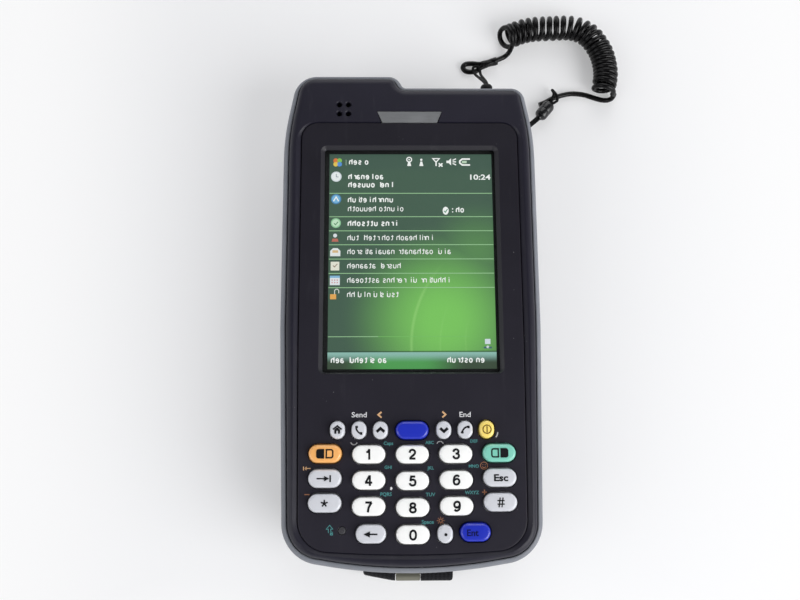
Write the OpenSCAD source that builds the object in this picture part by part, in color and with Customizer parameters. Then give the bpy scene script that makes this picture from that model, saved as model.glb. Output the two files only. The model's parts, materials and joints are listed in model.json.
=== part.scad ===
// Rugged handheld data terminal: colour display, numeric keypad, code scanner in the top end,
// hand strap across the back and a stylus on a coiled tether.
// It lies on its back. X is its width, Y runs towards its top end, Z is its thickness.

/* [Case] */
// Width over the bumper
case_w = 81.7; // [80:0.1:86]
// Length over the bumper, from the bottom to the top of the scanner hump
case_l = 157.6; // [155:0.1:168]
// Height of the face's rim above the surface the terminal rests on
rim_z = 31.2; // [31.2:0.1:34]
// Thickness of the housing walls
wall = 1.5; // [1.2:0.1:1.8]
// Depth that the rubber bumper stands proud of the housings
bumper_t = 2.3; // [1.6:0.1:2.6]
// Length of the scanner hump past the right part of the top end
hump_h = 4; // [2:0.1:5]
// Height of the joint line between the rear and the front housing
split_z = 18; // [17.8:0.1:18.4]

/* [Face panel] */
// Width of the rim beside the face panel
rim_w = 6.45; // [5.9:0.05:7]
// Distance from the top end down to the face panel
panel_from_top = 18.3; // [18:0.1:20]
// Distance from the bottom end up to the face panel
panel_from_bottom = 6.2; // [5.6:0.1:6.6]
// Depth of the face panel below the rim
panel_drop = 0.3; // [0:0.1:0.5]
// Thickness of the face panel
panel_t = 1.4; // [1:0.1:1.8]
// Gap between the face panel and the rim around it
panel_gap = 0.35; // [0.2:0.05:0.5]

/* [Display] */
// Width of the picture
picture_w = 52; // [48:0.1:54]
// Distance from the top end down to the picture
picture_from_top = 27.9; // [26:0.1:30]
// Distance from the picture down to the middle of the first key row
picture_to_keys = 18.5; // [16:0.1:22]
// Width of the black border between the picture and the recess wall
picture_border = 1.4; // [0.8:0.1:1.6]
// Slope of the recess wall, measured across
recess_bevel = 1; // [0.4:0.1:1.4]
// Thickness of the touch glass
glass_t = 1.1; // [0.8:0.1:1.4]

/* [Keypad] */
// Distance from the bottom end to the middle of the last key row
keys_from_bottom = 11.6; // [11.4:0.1:13]
// Pitch of the key rows
row_pitch = 7.7; // [7.4:0.1:8]
// Distance from the face panel's side to the middle of the outer keys
key_margin = 8.5; // [8.2:0.1:9.2]
// Gap between two number keys in a row
key_spacing = 2.95; // [2.4:0.05:3.6]
// Gap between two small keys in a row
small_key_spacing = 1.8; // [1.6:0.05:2.4]
// Height of a key across the rows
key_h = 5.5; // [5:0.1:5.8]
// Height of the keys above the face panel
key_proud = 1.9; // [1:0.1:2.4]
// Travel of a key
key_travel = 0.8; // [0.4:0.1:0.8]
// Gap between a key and its opening
key_gap = 0.25; // [0.15:0.05:0.3]

/* [Sides] */
// Distance from the top end to the middle of the scan buttons
scan_button_from_top = 54; // [50:1:60]
// Length of a scan button
scan_button_l = 14; // [10:0.5:18]
// Height of the side buttons
side_button_h = 5; // [4:0.1:5.4]
// Distance from the top end to the middle of the volume rocker
volume_from_top = 35; // [34:0.5:38]
// Length of the volume rocker
volume_l = 12; // [8:0.5:14]
// Gap between a side button and its opening
side_gap = 0.4; // [0.3:0.05:0.5]
// Bore of the headset jack
jack_bore_d = 2.54; // [2.5:0.01:3.6]

/* [Back] */
// Distance from the case's side to the battery pack
battery_from_side = 15.85; // [15.6:0.05:20]
// Distance from the bottom end to the battery pack
battery_from_bottom = 32.8; // [32.5:0.1:40]
// Distance from the battery pack to the strap's pin
battery_to_pin = 14.5; // [14:0.1:24]
// Thickness of the battery pack
battery_t = 10.6; // [8:0.1:10.9]
// Width of the hand strap
strap_w = 28.6; // [24:0.2:32]
// Thickness of the hand strap
strap_t = 1.6; // [1.2:0.1:1.7]
// Width of the metal hook
hook_w = 8.4; // [6:0.1:10]
// Length that the hook stands out past the bottom end
hook_out = 4; // [3.6:0.1:5]

/* [Stylus and tether] */
// Diameter of the stylus
stylus_d = 4.8; // [4:0.1:5.4]
// Length of the stylus
stylus_l = 104; // [80:1:106]
// Diameter of the tether's cord
cord_d = 1.4; // [1:0.1:1.6]
// Diameter of the string loops
string_d = 0.7; // [0.6:0.1:1]
// Outer diameter of the tether's coil
coil_d = 9; // [8:0.1:9]

/* [Hidden] */
$fn = 48;
half_w = case_w / 2;
top_y = (case_l + hook_out) / 2;
bottom_y = top_y - case_l;
eps = 0.01;

// Outline of the case, seen from above
side_r = 80;
shoulder_y = top_y - 28.8;
shoulder_a = 11;
waist_y = bottom_y + 75;
taper = 1.55;
taper_a = 1.5;
bow_r = 155;
bow_a = 10;
bow_rise = 2.5;
bottom_corner_r = 12.4;
top_corner_r = 4.9;
hump_corner_r = 8;
hump_edge_x = -0.9;
hump_step_a = 60;
hump_step_r = 1.4;
hump_end_r = 4.6;
least_r = 0.5;

// Heights of the layers inside
rear_floor_z = 5;
rear_back_z = 3;
panel_z = rim_z - panel_drop;
panel_under_z = panel_z - panel_t;
glass_top_z = panel_under_z - 0.1;
lcd_top_z = glass_top_z - glass_t;
plate_under_z = rim_z - 2.2;
board_t = 1.4;
board_z = 16.6;
board_y0 = bottom_y + 11;
board_y1 = top_y - 20.8;
frame_z = 23;
frame_t = 1.2;
lcd_z = frame_z + frame_t;
keypad_board_z = frame_z + frame_t;
membrane_z = keypad_board_z + board_t;
membrane_t = 1;
flange_t = 0.7;
flange_grow = 0.7;
flange_z = panel_under_z - 0.2 - flange_t;
dome_top_z = flange_z - key_travel - 0.1;
inset_in = bumper_t + wall;
bumper_z0 = 13.2;
bumper_z1 = 28.6;
bumper_gap = 0.1;
fit_gap = 0.1;

// The display and the keypad
panel_half = half_w - rim_w;
last_row_y = bottom_y + keys_from_bottom;
first_row_y = last_row_y + 4 * row_pitch - 0.6;
picture_l = top_y - picture_from_top - picture_to_keys - first_row_y;
picture_y = first_row_y + picture_to_keys + picture_l / 2;
recess_w = picture_w + 2 * picture_border;
recess_l = picture_l + 2 * picture_border;
recess_r = 1.2;
glass_over = 0.8;
panel_top_y = top_y - panel_from_top;
panel_bottom_y = bottom_y + panel_from_bottom;
column_pitch = (panel_half - key_margin) / 2;
column_rise_x = 2 * column_pitch;
key_w = column_pitch - key_spacing;
wide_key_w = key_w - 0.9;
small_pitch = column_pitch / 2 - 0.05;
small_key_w = small_pitch - small_key_spacing;
menu_x = column_rise_x - 3.6;
up_x = menu_x - 2 * small_pitch;
enter_x = up_x + (small_key_w + wide_key_w) / 2 + 2;
// name, columns from the middle, row from the top, width
KEYS = [
    ["menu", -menu_x, 0, small_key_w], ["send", small_pitch - menu_x, 0, small_key_w],
    ["up", -up_x, 0, small_key_w], ["scan", 0, 0, key_w], ["down", up_x, 0, small_key_w],
    ["end", menu_x - small_pitch, 0, small_key_w], ["power", menu_x, 0, small_key_w],
    ["shift_orange", -2 * column_pitch, 1, key_w], ["1", -column_pitch, 1, key_w],
    ["2", 0, 1, key_w], ["3", column_pitch, 1, key_w],
    ["shift_green", 2 * column_pitch, 1, key_w],
    ["tab", -2 * column_pitch, 2, key_w], ["4", -column_pitch, 2, key_w],
    ["5", 0, 2, key_w], ["6", column_pitch, 2, key_w], ["esc", 2 * column_pitch, 2, key_w],
    ["star", -2 * column_pitch, 3, key_w], ["7", -column_pitch, 3, key_w],
    ["8", 0, 3, key_w], ["9", column_pitch, 3, key_w], ["hash", 2 * column_pitch, 3, key_w],
    ["backspace", 0.65 - column_pitch, 4, wide_key_w], ["0", 0, 4, key_w],
    ["dot", up_x, 4, small_key_w], ["enter", enter_x, 4, wide_key_w],
];
row_rise = [0.2, 0.3, 0.8, 1.4, 1.2];
shift_led_x = 5.1 - column_rise_x;
shift_led_r = 1.15;
keypad_top_y = last_row_y + 4 * row_pitch + key_h;
keypad_half_w = column_rise_x + 2.6;
board_half_w = half_w - 13.85;

// The top end
slope_a = 30.5;
slope_y = top_y - 6.2;
window_top_y = panel_top_y + 3.9;
window_half_top = 10.2;
window_half_bottom = 8.7;
hole_r = 0.85;
hole_pitch_x = 2.9;
hole_pitch_y = 3.1;
earpiece_x = 19.7 - half_w;
earpiece_y = panel_top_y + 4.65;
earpiece_r = 3.7;
scan_window_x = 20.85 - half_w;
scan_window_w = 18;
scan_window_z = 5.6;
scan_window_h = 7;
anchor_x = half_w - 14.55;
anchor_z = 21;
anchor_r = 2;

// The sides
side_z = 21.5;
scan_button_y = top_y - scan_button_from_top;
volume_y = top_y - volume_from_top;
wall_mid_x = half_w - bumper_t - wall / 2;
flange_x = half_w - inset_in - 0.3;
side_proud = 0.1;
jack_y = top_y - 36;
jack_z = 21;
jack_r = 2.8;
jack_l = 10.8;
jack_depth = 9.5;
dock_w = 26;
dock_h = 4.4;
dock_z = 12.2;
dock_l = 5.8;

// The back
rail_x = half_w - 9.6;
rail_w = 3.6;
rail_y0 = bottom_y + 23.6;
rail_y1 = top_y - 27.8;
battery_z = rear_back_z - 0.1;
battery_gap = 0.3;
bay_wall = 1.4;
bay_top_z = battery_z + battery_t + battery_gap;
latch_w = 14;
latch_l = 8.8;
latch_h = 3;
latch_travel = 2;
pin_y = top_y - 30.3;
pin_half = strap_w / 2 + 3.1;
battery_w = 2 * (half_w - battery_from_side);
battery_l = pin_y - battery_to_pin - bottom_y - battery_from_bottom;
battery_y = bottom_y + battery_from_bottom + battery_l / 2;
latch_y1 = battery_y - battery_l / 2 - battery_gap - bay_wall - 1.5;
strap_x = -0.9;
strap_z = 0.7;
pin_r = 1.5;
pin_gap = 0.2;
strap_loop_r = pin_r + pin_gap + strap_t;
pin_z = strap_z + strap_loop_r;
hook_r = strap_loop_r;
hook_y = -top_y + hook_r;
hook_leg_t = 1.4;
hook_slot_z = 9.6;
pocket_depth_z = 9.4;
boss_r = 2.7;
screw_r = 1;
screw_head_r = 2.2;
screw_head_h = 1.5;
screw_head_z = 3.9;
screw_tip_z = 22.4;
// x, y, and the direction of the rib that ties the boss to the wall
BOSSES = [
    [-half_w + 9.35, top_y - 23.8, -1, 0], [half_w - 22.85, top_y - 16.8, 0, 1],
    [-half_w + 9.35, bottom_y + 19.8, -1, 0], [half_w - 9.35, bottom_y + 19.8, 1, 0],
];

// The stylus and its tether
stylus_x = half_w - 9.35;
stylus_z = 9.6;
stylus_y1 = top_y - 10.8;
silo_y1 = top_y - 16.8;
silo_gap = 0.05;
silo_wall = 1;
silo_r = stylus_d / 2 + silo_gap;
pocket_top_z = 13.2;
barrel_l = 7.4;
barrel_r = 2.3;
BARREL = [49.4, 79.4, barrel_r];
barrel_a = 50;
// The cord's line from the folded eye to the coil, along the coil, and from it to the barrel
HEAD = [
    [32.9, 98.7, 2.3], [29.9, 97.8, 2.2], [27.4, 96.7, 1.6], [25.3, 95.4, 0.9], [23.2, 95, 0.8],
    [21.4, 95.4, 0.8], [20.5, 96.7, 0.8], [21.4, 98, 0.8], [23.8, 98.3, 0.8], [26.8, 98.1, 0.8],
    [29.8, 98.6, 0.8], [32.7, 99.6, 0.8], [35.6, 101, 0.9], [37.3, 102.8, 1.1], [37.6, 105.2, 1.5],
];
COIL = [
    [38.2, 107.6, 4.5], [42, 108.8, 4.5], [46.5, 109.8, 4.5], [52, 110.4, 4.5],
    [57.5, 110.9, 4.5], [61, 110.9, 4.5], [64.2, 109.7, 4.5], [67, 107.6, 4.5],
    [69, 104.4, 4.5], [70.5, 100.6, 4.5], [71.4, 96.4, 4.5], [71.6, 92.2, 4.5], [70.9, 88.2, 4.5],
];
TAIL = [
    [73.9, 86.4, 1.6], [74.2, 85.3, 1.1], [73, 84.4, 0.9], [70.8, 84.2, 0.8], [67.6, 85.1, 0.8],
    [64.2, 86.2, 0.8], [60, 86.6, 0.8], [56.4, 86, 0.8], [52.9, 84.8, 0.8], [50.2, 83.3, 0.8],
    [47.9, 82.3, 0.8],
];
// The string from the anchor through the eye and back, and from the stylus cap to the barrel
STRING = [
    [25.7, 79.3, 21], [25.6, 82, 19.4], [25, 87.8, 11], [24.4, 92, 4.8], [24.1, 94.4, 2.3],
    [24.1, 96, 2], [24.7, 96.8, 1.7], [25.5, 96.7, 1.9], [26.1, 96.2, 2.5], [26.5, 94.6, 2.4],
    [26.5, 92, 5], [26.4, 87.8, 11.4], [26.6, 82, 19.6], [26.9, 79.3, 21],
];
LINK = [
    [stylus_x + stylus_d / 2 - 0.2, stylus_y1 - 1.4, stylus_z], [35.6, 69.4, 8.6], [38, 70.2, 7.2], [41.6, 71.8, 4.6],
    [44.6, 74.4, 2.8], [47, 76.6, 2.3],
];

// Points on an arc about c, from angle a0 to a1
function arc(c, r, a0, a1, n) =
    [for (i = [0:n]) let (a = a0 + (a1 - a0) * i / n) [c.x + r * cos(a), c.y + r * sin(a)]];

// Points on a convex corner moved inwards, which never gets sharper than least_r
function corner(c, r, a0, a1, inset, n) =
    let (inner = max(r - inset, least_r),
         shift = (inner - r + inset) / cos((a1 - a0) / 2),
         middle = (a0 + a1) / 2)
    arc([c.x - shift * cos(middle), c.y - shift * sin(middle)], inner, a0, a1, n);

// Centre of a top corner of radius r at height y that is tangent to the shoulder
function shoulder_x(y, r) =
    half_w - side_r + (side_r - r - (y - shoulder_y) * sin(shoulder_a)) / cos(shoulder_a);

// The case's outline, moved inwards by inset
function case_outline(inset) =
    let (low_y = bottom_y + bottom_corner_r + bow_rise,
         low_x = half_w - taper - bottom_corner_r,
         right_y = top_y - hump_h - top_corner_r,
         left_y = top_y - hump_corner_r,
         turns_r = hump_step_r + hump_end_r,
         step_x = hump_edge_x - turns_r * sin(hump_step_a)
                  - (hump_h - turns_r * (1 - cos(hump_step_a))) / tan(hump_step_a))
    concat(
        arc([0, bottom_y + bow_r], bow_r - inset, -90 - bow_a, -90 + bow_a, 8),
        corner([low_x, low_y], bottom_corner_r, bow_a - 90, -taper_a, inset, 9),
        arc([half_w - side_r, waist_y], side_r - inset, -taper_a, 0, 1),
        arc([half_w - side_r, shoulder_y], side_r - inset, 0, shoulder_a, 4),
        corner([shoulder_x(right_y, top_corner_r), right_y], top_corner_r,
               shoulder_a, 90, inset, 7),
        arc([hump_edge_x, top_y - hump_h + hump_step_r], hump_step_r + inset,
            -90, -90 - hump_step_a, 4),
        corner([step_x, top_y - hump_end_r], hump_end_r, 90 - hump_step_a, 90, inset, 5),
        corner([-shoulder_x(left_y, hump_corner_r), left_y], hump_corner_r,
               90, 180 - shoulder_a, inset, 8),
        arc([side_r - half_w, shoulder_y], side_r - inset, 180 - shoulder_a, 180, 4),
        arc([side_r - half_w, waist_y], side_r - inset, 180, 180 + taper_a, 1),
        corner([-low_x, low_y], bottom_corner_r, 180 + taper_a, 270 - bow_a, inset, 9));

// The face panel's outline, moved outwards by grow
function panel_outline(grow) =
    let (bow = 350, a = 4.16, low_r = 9, top_r = 5.1, x = panel_half)
    concat(
        arc([0, panel_bottom_y + bow], bow + grow, -90 - a, -90 + a, 6),
        arc([x - 0.65 - low_r, panel_bottom_y + low_r + 0.9], low_r + grow, a - 90, -0.75, 9),
        [[x + grow, waist_y - 8]],
        arc([x - top_r, panel_top_y - top_r], top_r + grow, 0, 90, 7),
        arc([top_r - x, panel_top_y - top_r], top_r + grow, 90, 180, 7),
        [[-x - grow, waist_y - 8]],
        arc([low_r + 0.65 - x, panel_bottom_y + low_r + 0.9], low_r + grow, 180.75, 270 - a, 9));

// A rectangle with round corners about the picture's middle
function picture_outline(w, l, r) =
    [for (q = [0:3]) let (sx = q == 0 || q == 3 ? 1 : -1, sy = q < 2 ? 1 : -1)
        each arc([sx * (w / 2 - r), picture_y + sy * (l / 2 - r)], r, 90 * q, 90 * q + 90, 4)];

// Triangles of the wall between ring a and ring b, each of n points
function wall_faces(a, b, n) =
    [for (i = [0:n - 1]) let (j = (i + 1) % n)
        each [[a * n + i, b * n + i, b * n + j], [a * n + i, b * n + j, a * n + j]]];

// A closed solid through rings of points, each at its own height
module loft(rings, heights) {
    n = len(rings[0]);
    last = len(rings) - 1;
    polyhedron(
        [for (k = [0:last], p = rings[k]) [p.x, p.y, heights[k]]],
        concat([[for (i = [0:n - 1]) i]],
               [for (k = [1:last]) each wall_faces(k - 1, k, n)],
               [[for (i = [n - 1:-1:0]) last * n + i]]),
        convexity = 8);
}

// A solid of the case's outline, with an [inset, height] pair for each level
module case_solid(levels) {
    loft([for (l = levels) case_outline(l[0])], [for (l = levels) l[1]]);
}

// A band around the case whose cross-section is a closed loop of [inset, height] pairs
module case_band(profile) {
    rings = [for (p = profile) case_outline(p[0])];
    n = len(rings[0]);
    m = len(profile);
    polyhedron(
        [for (k = [0:m - 1], p = rings[k]) [p.x, p.y, profile[k][1]]],
        [for (k = [0:m - 1]) each wall_faces(k, (k + 1) % m, n)],
        convexity = 8);
}

// A box from its low corner to its high corner
module box(low, high) {
    translate(low) cube(high - low);
}

// A plate of the face panel's outline
module panel_plate(grow, z0, z1) {
    translate([0, 0, z0]) linear_extrude(z1 - z0) polygon(panel_outline(grow));
}

// A plate about the picture's middle with round corners
module picture_plate(w, l, r, z0, z1) {
    translate([0, 0, z0]) linear_extrude(z1 - z0) polygon(picture_outline(w, l, r));
}

// A flat bar with round ends, w long, h wide and t thick, lying along X with its underside at z 0
module pill(w, h, t) {
    r = min(w, h) / 2;
    dx = w / 2 - r;
    dy = h / 2 - r;
    for (s = [-1, 1]) translate([s * dx, s * dy, 0]) cylinder(t, r, r);
    translate([-max(dx, r), -max(dy, r), 0]) intersection() {
        cube([2 * max(dx, r), 2 * max(dy, r), t]);
        translate([max(dx, r) - (dy > 0 ? r : dx), max(dy, r) - (dy > 0 ? dy : r), 0])
            cube([dy > 0 ? 2 * r : 2 * dx, dy > 0 ? 2 * dy : 2 * r, t]);
    }
}

// A side button's shape with its length along Y, from x0 to x1
module side_pill(l, h, x0, x1) {
    translate([x0, 0, 0]) rotate([90, 0, 90]) pill(l, h, x1 - x0);
}

// A rod from a to b
module rod(a, b, r) {
    d = b - a;
    translate(a) rotate([0, acos(d.z / norm(d)), atan2(d.y, d.x)]) cylinder(norm(d), r, r);
}

// Smooth points through a route, with steps on each stretch
function smooth(points, steps) =
    let (last = len(points) - 1)
    concat([for (i = [0:last - 1], s = [0:steps - 1])
        let (t = s / steps,
             a = points[max(i - 1, 0)], b = points[i],
             c = points[i + 1], d = points[min(i + 2, last)])
        b + (c - a) * t / 2 + (2 * a - 5 * b + 4 * c - d) * t * t / 2
          + (3 * b - a - 3 * c + d) * t * t * t / 2], [points[last]]);

function unit(v) = v / norm(v);

// A tube of diameter d along a route, with a ring of sides points at each point of the route
module tube(route, d, sides, roll = 0) {
    last = len(route) - 1;
    points = [for (i = [0:last])
        let (along = unit(route[min(i + 1, last)] - route[max(i - 1, 0)]),
             across = unit(cross(along, abs(along.z) > 0.9 ? [1, 0, 0] : [0, 0, 1])),
             up = cross(across, along))
        each [for (s = [0:sides - 1]) let (a = roll + 360 * s / sides)
            route[i] + d / 2 * (cos(a) * across + sin(a) * up)]];
    polyhedron(points, concat(
        [[for (s = [sides - 1:-1:0]) s]],
        [for (k = [1:last], s = [0:sides - 1])
            let (t = (s + 1) % sides, a = (k - 1) * sides, b = k * sides)
            each [[a + s, a + t, b + t], [a + s, b + t, b + s]]],
        [[for (s = [0:sides - 1]) last * sides + s]]), convexity = 8);
}

function key_y(k) =
    last_row_y + (4 - k[2]) * row_pitch - (k[2] == 0 ? 0.6 : 0)
    + row_rise[k[2]] * pow(k[1] / column_rise_x, 2);

// Places its children at key k
module at_key(k) {
    translate([k[1], key_y(k), 0]) children();
}

// Places its children at the screw bosses
module at_bosses() {
    for (b = BOSSES) translate([b[0], b[1], 0]) children();
}

// Housings

// The rear housing's solid inner blocks, around the battery bay and the pockets
module rear_blocks() {
    bay = [battery_w / 2 + battery_gap + bay_wall, battery_l / 2 + battery_gap + bay_wall];
    box([-bay.x, battery_y - bay.y, 0], [bay.x, battery_y + bay.y, bay_top_z + bay_wall]);
    translate([stylus_x, silo_y1 - stylus_l, stylus_z]) rotate([-90, 0, 0])
        cylinder(stylus_l, silo_r + silo_wall, silo_r + silo_wall);
    box([stylus_x - 5.3, silo_y1 - 1.6, 0], [half_w, top_y, pocket_top_z + 2]);
    box([-pin_half - 1.6, pin_y - 8.5, 0], [pin_half + 1.6, pin_y + 8.5, pocket_depth_z + 1.6]);
    box([-latch_w / 2 - 2, latch_y1 - latch_l - latch_travel - 2, 0],
        [latch_w / 2 + 2, battery_y - bay.y + 1, rear_back_z + latch_h + 3]);
    box([strap_x - 8, bottom_y, 0], [strap_x + 8, bottom_y + 9, hook_slot_z + 2.4]);
    box([-dock_w / 2 - 2, bottom_y, dock_z - 1.6],
        [dock_w / 2 + 2, bottom_y + 10.4, dock_z + dock_h + 1.6]);
    at_bosses() cylinder(split_z, boss_r, boss_r);
}

module rear_housing() {
    color([0.17, 0.17, 0.2]) {
        difference() {
            case_solid([[bumper_t + 3.5, rear_back_z], [bumper_t + 2.1, 3.6],
                        [bumper_t + 1.1, 5.2], [bumper_t + 0.4, 8.5], [bumper_t, bumper_z0],
                        [bumper_t, split_z]]);
            difference() {
                case_solid([[inset_in + 1.4, rear_floor_z], [inset_in + 0.7, 8.5],
                            [inset_in, bumper_z0], [inset_in, split_z + 1]]);
                rear_blocks();
            }
            battery_bay();
            stylus_silo();
            box([-pin_half, pin_y - 7, -1], [pin_half, pin_y + 8, pocket_depth_z]);
            box([-latch_w / 2 - battery_gap, latch_y1 - latch_l - latch_travel - 0.3, -1],
                [latch_w / 2 + battery_gap, latch_y1 + 0.3, rear_back_z + latch_h + 0.3]);
            box([strap_x - hook_w / 2 - 0.4, bottom_y - 1, hook_slot_z - 1],
                [strap_x + hook_w / 2 + 0.4, bottom_y + 6.4, hook_slot_z + 1]);
            box([-dock_w / 2 - fit_gap, bottom_y - 1, dock_z - fit_gap],
                [dock_w / 2 + fit_gap, bottom_y + 2.6 + dock_l, dock_z + dock_h + fit_gap]);
            box([scan_window_x - scan_window_w / 2, top_y - 9, scan_window_z],
                [scan_window_x + scan_window_w / 2, top_y + 1, scan_window_z + scan_window_h]);
            at_bosses() {
                translate([0, 0, -1]) cylinder(screw_head_z + screw_head_h + 1.1,
                                               screw_head_r + 0.2, screw_head_r + 0.2);
                cylinder(split_z + 1, screw_r + 0.05, screw_r + 0.05);
            }
        }
        for (s = [-1, 1]) translate([s * rail_x, (rail_y0 + rail_y1) / 2, 0])
            rail(s > 0 ? 2 : 0);
        for (s = [-1, 1], y = [battery_y - 30, battery_y + 30])
            translate([s * 20, y, bay_top_z + bay_wall])
                cylinder(board_z - bay_top_z - bay_wall, 2, 2);
    }
}

// A long foot that the terminal rests on, shorter at its top end by cut
module rail(cut) {
    l = rail_y1 - rail_y0 - cut;
    translate([0, -cut / 2, 0]) pill(rail_w, l, rear_back_z + 0.3);
}

module battery_bay() {
    box([-battery_w / 2 - battery_gap, battery_y - battery_l / 2 - battery_gap, -1],
        [battery_w / 2 + battery_gap, battery_y + battery_l / 2 + battery_gap, bay_top_z]);
}

// The stylus's long bore and the scooped corner that leaves its cap within reach
module stylus_silo() {
    translate([stylus_x, silo_y1 - stylus_l + silo_wall, stylus_z]) rotate([-90, 0, 0])
        cylinder(stylus_l + 2, silo_r, silo_r);
    box([stylus_x - 4.1, silo_y1, -1], [half_w + 5, top_y + 5, pocket_top_z]);
}

module front_housing() {
    color([0.19, 0.19, 0.22]) {
        difference() {
            case_solid([[bumper_t, split_z], [bumper_t, rim_z - 1.8], [bumper_t + 0.3, rim_z - 0.8],
                        [bumper_t + 1, rim_z - 0.2], [bumper_t + 2, rim_z]]);
            case_solid([[inset_in, split_z - 1], [inset_in, plate_under_z]]);
            panel_plate(panel_gap, plate_under_z - 1, rim_z + 1);
            loft([panel_outline(panel_gap), panel_outline(panel_gap + 1)],
                 [rim_z - 0.7, rim_z + eps]);
            translate([-half_w, slope_y, rim_z]) rotate([-slope_a, 0, 0])
                cube([half_w + hump_edge_x, 20, 10]);
            translate([0, 0, plate_under_z - 1]) linear_extrude(4) polygon([
                [-window_half_bottom - fit_gap, panel_top_y], [window_half_bottom + fit_gap, panel_top_y],
                [window_half_top + fit_gap, window_top_y + fit_gap],
                [-window_half_top - fit_gap, window_top_y + fit_gap]]);
            for (sx = [-1, 1], sy = [-1, 1])
                translate([earpiece_x + sx * hole_pitch_x / 2, earpiece_y + sy * hole_pitch_y / 2,
                           plate_under_z - 1]) cylinder(5, hole_r, hole_r);
            for (s = [-1, 1]) translate([s * (half_w - 4), scan_button_y, side_z])
                side_pill(scan_button_l + 2 * side_gap, side_button_h + 2 * side_gap, -3, 3);
            translate([4 - half_w, volume_y, side_z])
                side_pill(volume_l + 2 * side_gap, side_button_h + 2 * side_gap, -3, 3);
            translate([-wall_mid_x, volume_y, side_z - 3.25]) cylinder(6.5, 0.6, 0.6);
            translate([half_w - 8, jack_y, jack_z]) rotate([0, 90, 0])
                cylinder(10, jack_r + fit_gap, jack_r + fit_gap);
            translate([anchor_x, top_y - hump_h, anchor_z]) rotate([90, 0, 0])
                cylinder(8, anchor_r + fit_gap, anchor_r + fit_gap);
        }
        front_bosses();
    }
}

module front_bosses() {
    for (b = BOSSES) difference() {
        union() {
            translate([b[0], b[1], split_z]) cylinder(5.6, boss_r, boss_r);
            intersection() {
                translate([b[0] + b[2] * 5, b[1] + b[3] * 6, split_z + 2.8])
                    cube([abs(b[2]) * 10 + 3, abs(b[3]) * 12 + 3, 5.6], center = true);
                case_solid([[bumper_t + wall / 2, split_z], [bumper_t + wall / 2, plate_under_z]]);
            }
        }
        translate([b[0], b[1], split_z - 1]) cylinder(8, screw_r + 0.05, screw_r + 0.05);
    }
}

module bumper() {
    inner = bumper_t + bumper_gap - 0.2;
    color([0.45, 0.46, 0.5]) difference() {
        case_band([[bumper_t + 0.1, bumper_z0], [1.2, bumper_z0 + 0.2], [0.3, bumper_z0 + 1.4],
                   [0, bumper_z0 + 3.6], [0, bumper_z1 - 4.4], [0.3, bumper_z1 - 1.6],
                   [1.1, bumper_z1 - 0.3], [bumper_t - 0.4, bumper_z1],
                   [bumper_t - bumper_gap, bumper_z1 - 0.2],
                   [bumper_t - bumper_gap, bumper_z0]]);
        for (s = [-1, 1]) translate([s * half_w, scan_button_y, side_z])
            side_pill(scan_button_l + 2 * side_gap, side_button_h + 2 * side_gap, -4, 4);
        translate([-half_w, volume_y, side_z])
            side_pill(volume_l + 2 * side_gap, side_button_h + 2 * side_gap, -4, 4);
        translate([half_w - 4, jack_y, jack_z]) rotate([0, 90, 0]) cylinder(8, jack_r, jack_r);
        translate([anchor_x, top_y, anchor_z]) rotate([90, 0, 0])
            cylinder(8, anchor_r + fit_gap, anchor_r + fit_gap);
        translate([-dock_w / 2 - 1, bottom_y - 3, bumper_z0 - 2])
            cube([dock_w + 2, 8, dock_z + dock_h + 2.6 - bumper_z0]);
    }
}

module face_panel() {
    color([0.13, 0.13, 0.15]) difference() {
        union() {
            panel_plate(0, panel_under_z, panel_z);
            difference() {
                union() {
                    panel_plate(0, plate_under_z - 1, panel_under_z);
                    panel_plate(0.8, plate_under_z - 1, plate_under_z - 0.2);
                }
                panel_plate(-1.2, plate_under_z - 2, panel_under_z);
            }
        }
        loft([picture_outline(recess_w, recess_l, recess_r),
              picture_outline(recess_w, recess_l, recess_r),
              picture_outline(recess_w + 2 * recess_bevel, recess_l + 2 * recess_bevel,
                              recess_r + recess_bevel)],
             [panel_under_z - 1, panel_under_z + 0.2, panel_z + eps]);
        for (k = KEYS) at_key(k) translate([0, 0, panel_under_z - 1])
            pill(k[3] + 2 * key_gap, key_h + 2 * key_gap, panel_t + 2);
        translate([shift_led_x, last_row_y + row_rise[4], panel_under_z - 1])
            cylinder(panel_t + 2, shift_led_r + fit_gap, shift_led_r + fit_gap);
    }
}

module housing_screws() {
    color([0.6, 0.6, 0.62]) at_bosses() {
        translate([0, 0, screw_head_z]) difference() {
            cylinder(screw_head_h, screw_head_r, screw_head_r);
            for (a = [0, 90]) rotate(a) translate([-1.2, -0.25, -1]) cube([2.4, 0.5, 1.7]);
        }
        translate([0, 0, screw_head_z + screw_head_h])
            cylinder(screw_tip_z - screw_head_z - screw_head_h, screw_r, screw_r);
    }
}

// What the housings hold

module touch_glass() {
    color([0.2, 0.3, 0.2]) picture_plate(recess_w + 2 * glass_over, recess_l + 2 * glass_over,
                                         1, lcd_top_z, glass_top_z);
}

module lcd_module() {
    color([0.3, 0.5, 0.3]) picture_plate(picture_w + 8, picture_l + 8.6, 1, lcd_z, lcd_top_z);
}

module mid_frame() {
    color([0.5, 0.5, 0.53]) {
        difference() {
            box([-board_half_w, panel_bottom_y + 2.6, frame_z], [board_half_w, board_y1, lcd_z]);
            box([-15, picture_y - 20, frame_z - 1], [15, picture_y + 20, lcd_z + 1]);
        }
        for (sx = [-1, 1], y = [board_y0 + 2, (board_y0 + board_y1) / 2, board_y1 - 2])
            translate([sx * (board_half_w - 2), y, board_z + board_t])
                cylinder(frame_z - board_z - board_t, 1.6, 1.6);
    }
}

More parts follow.
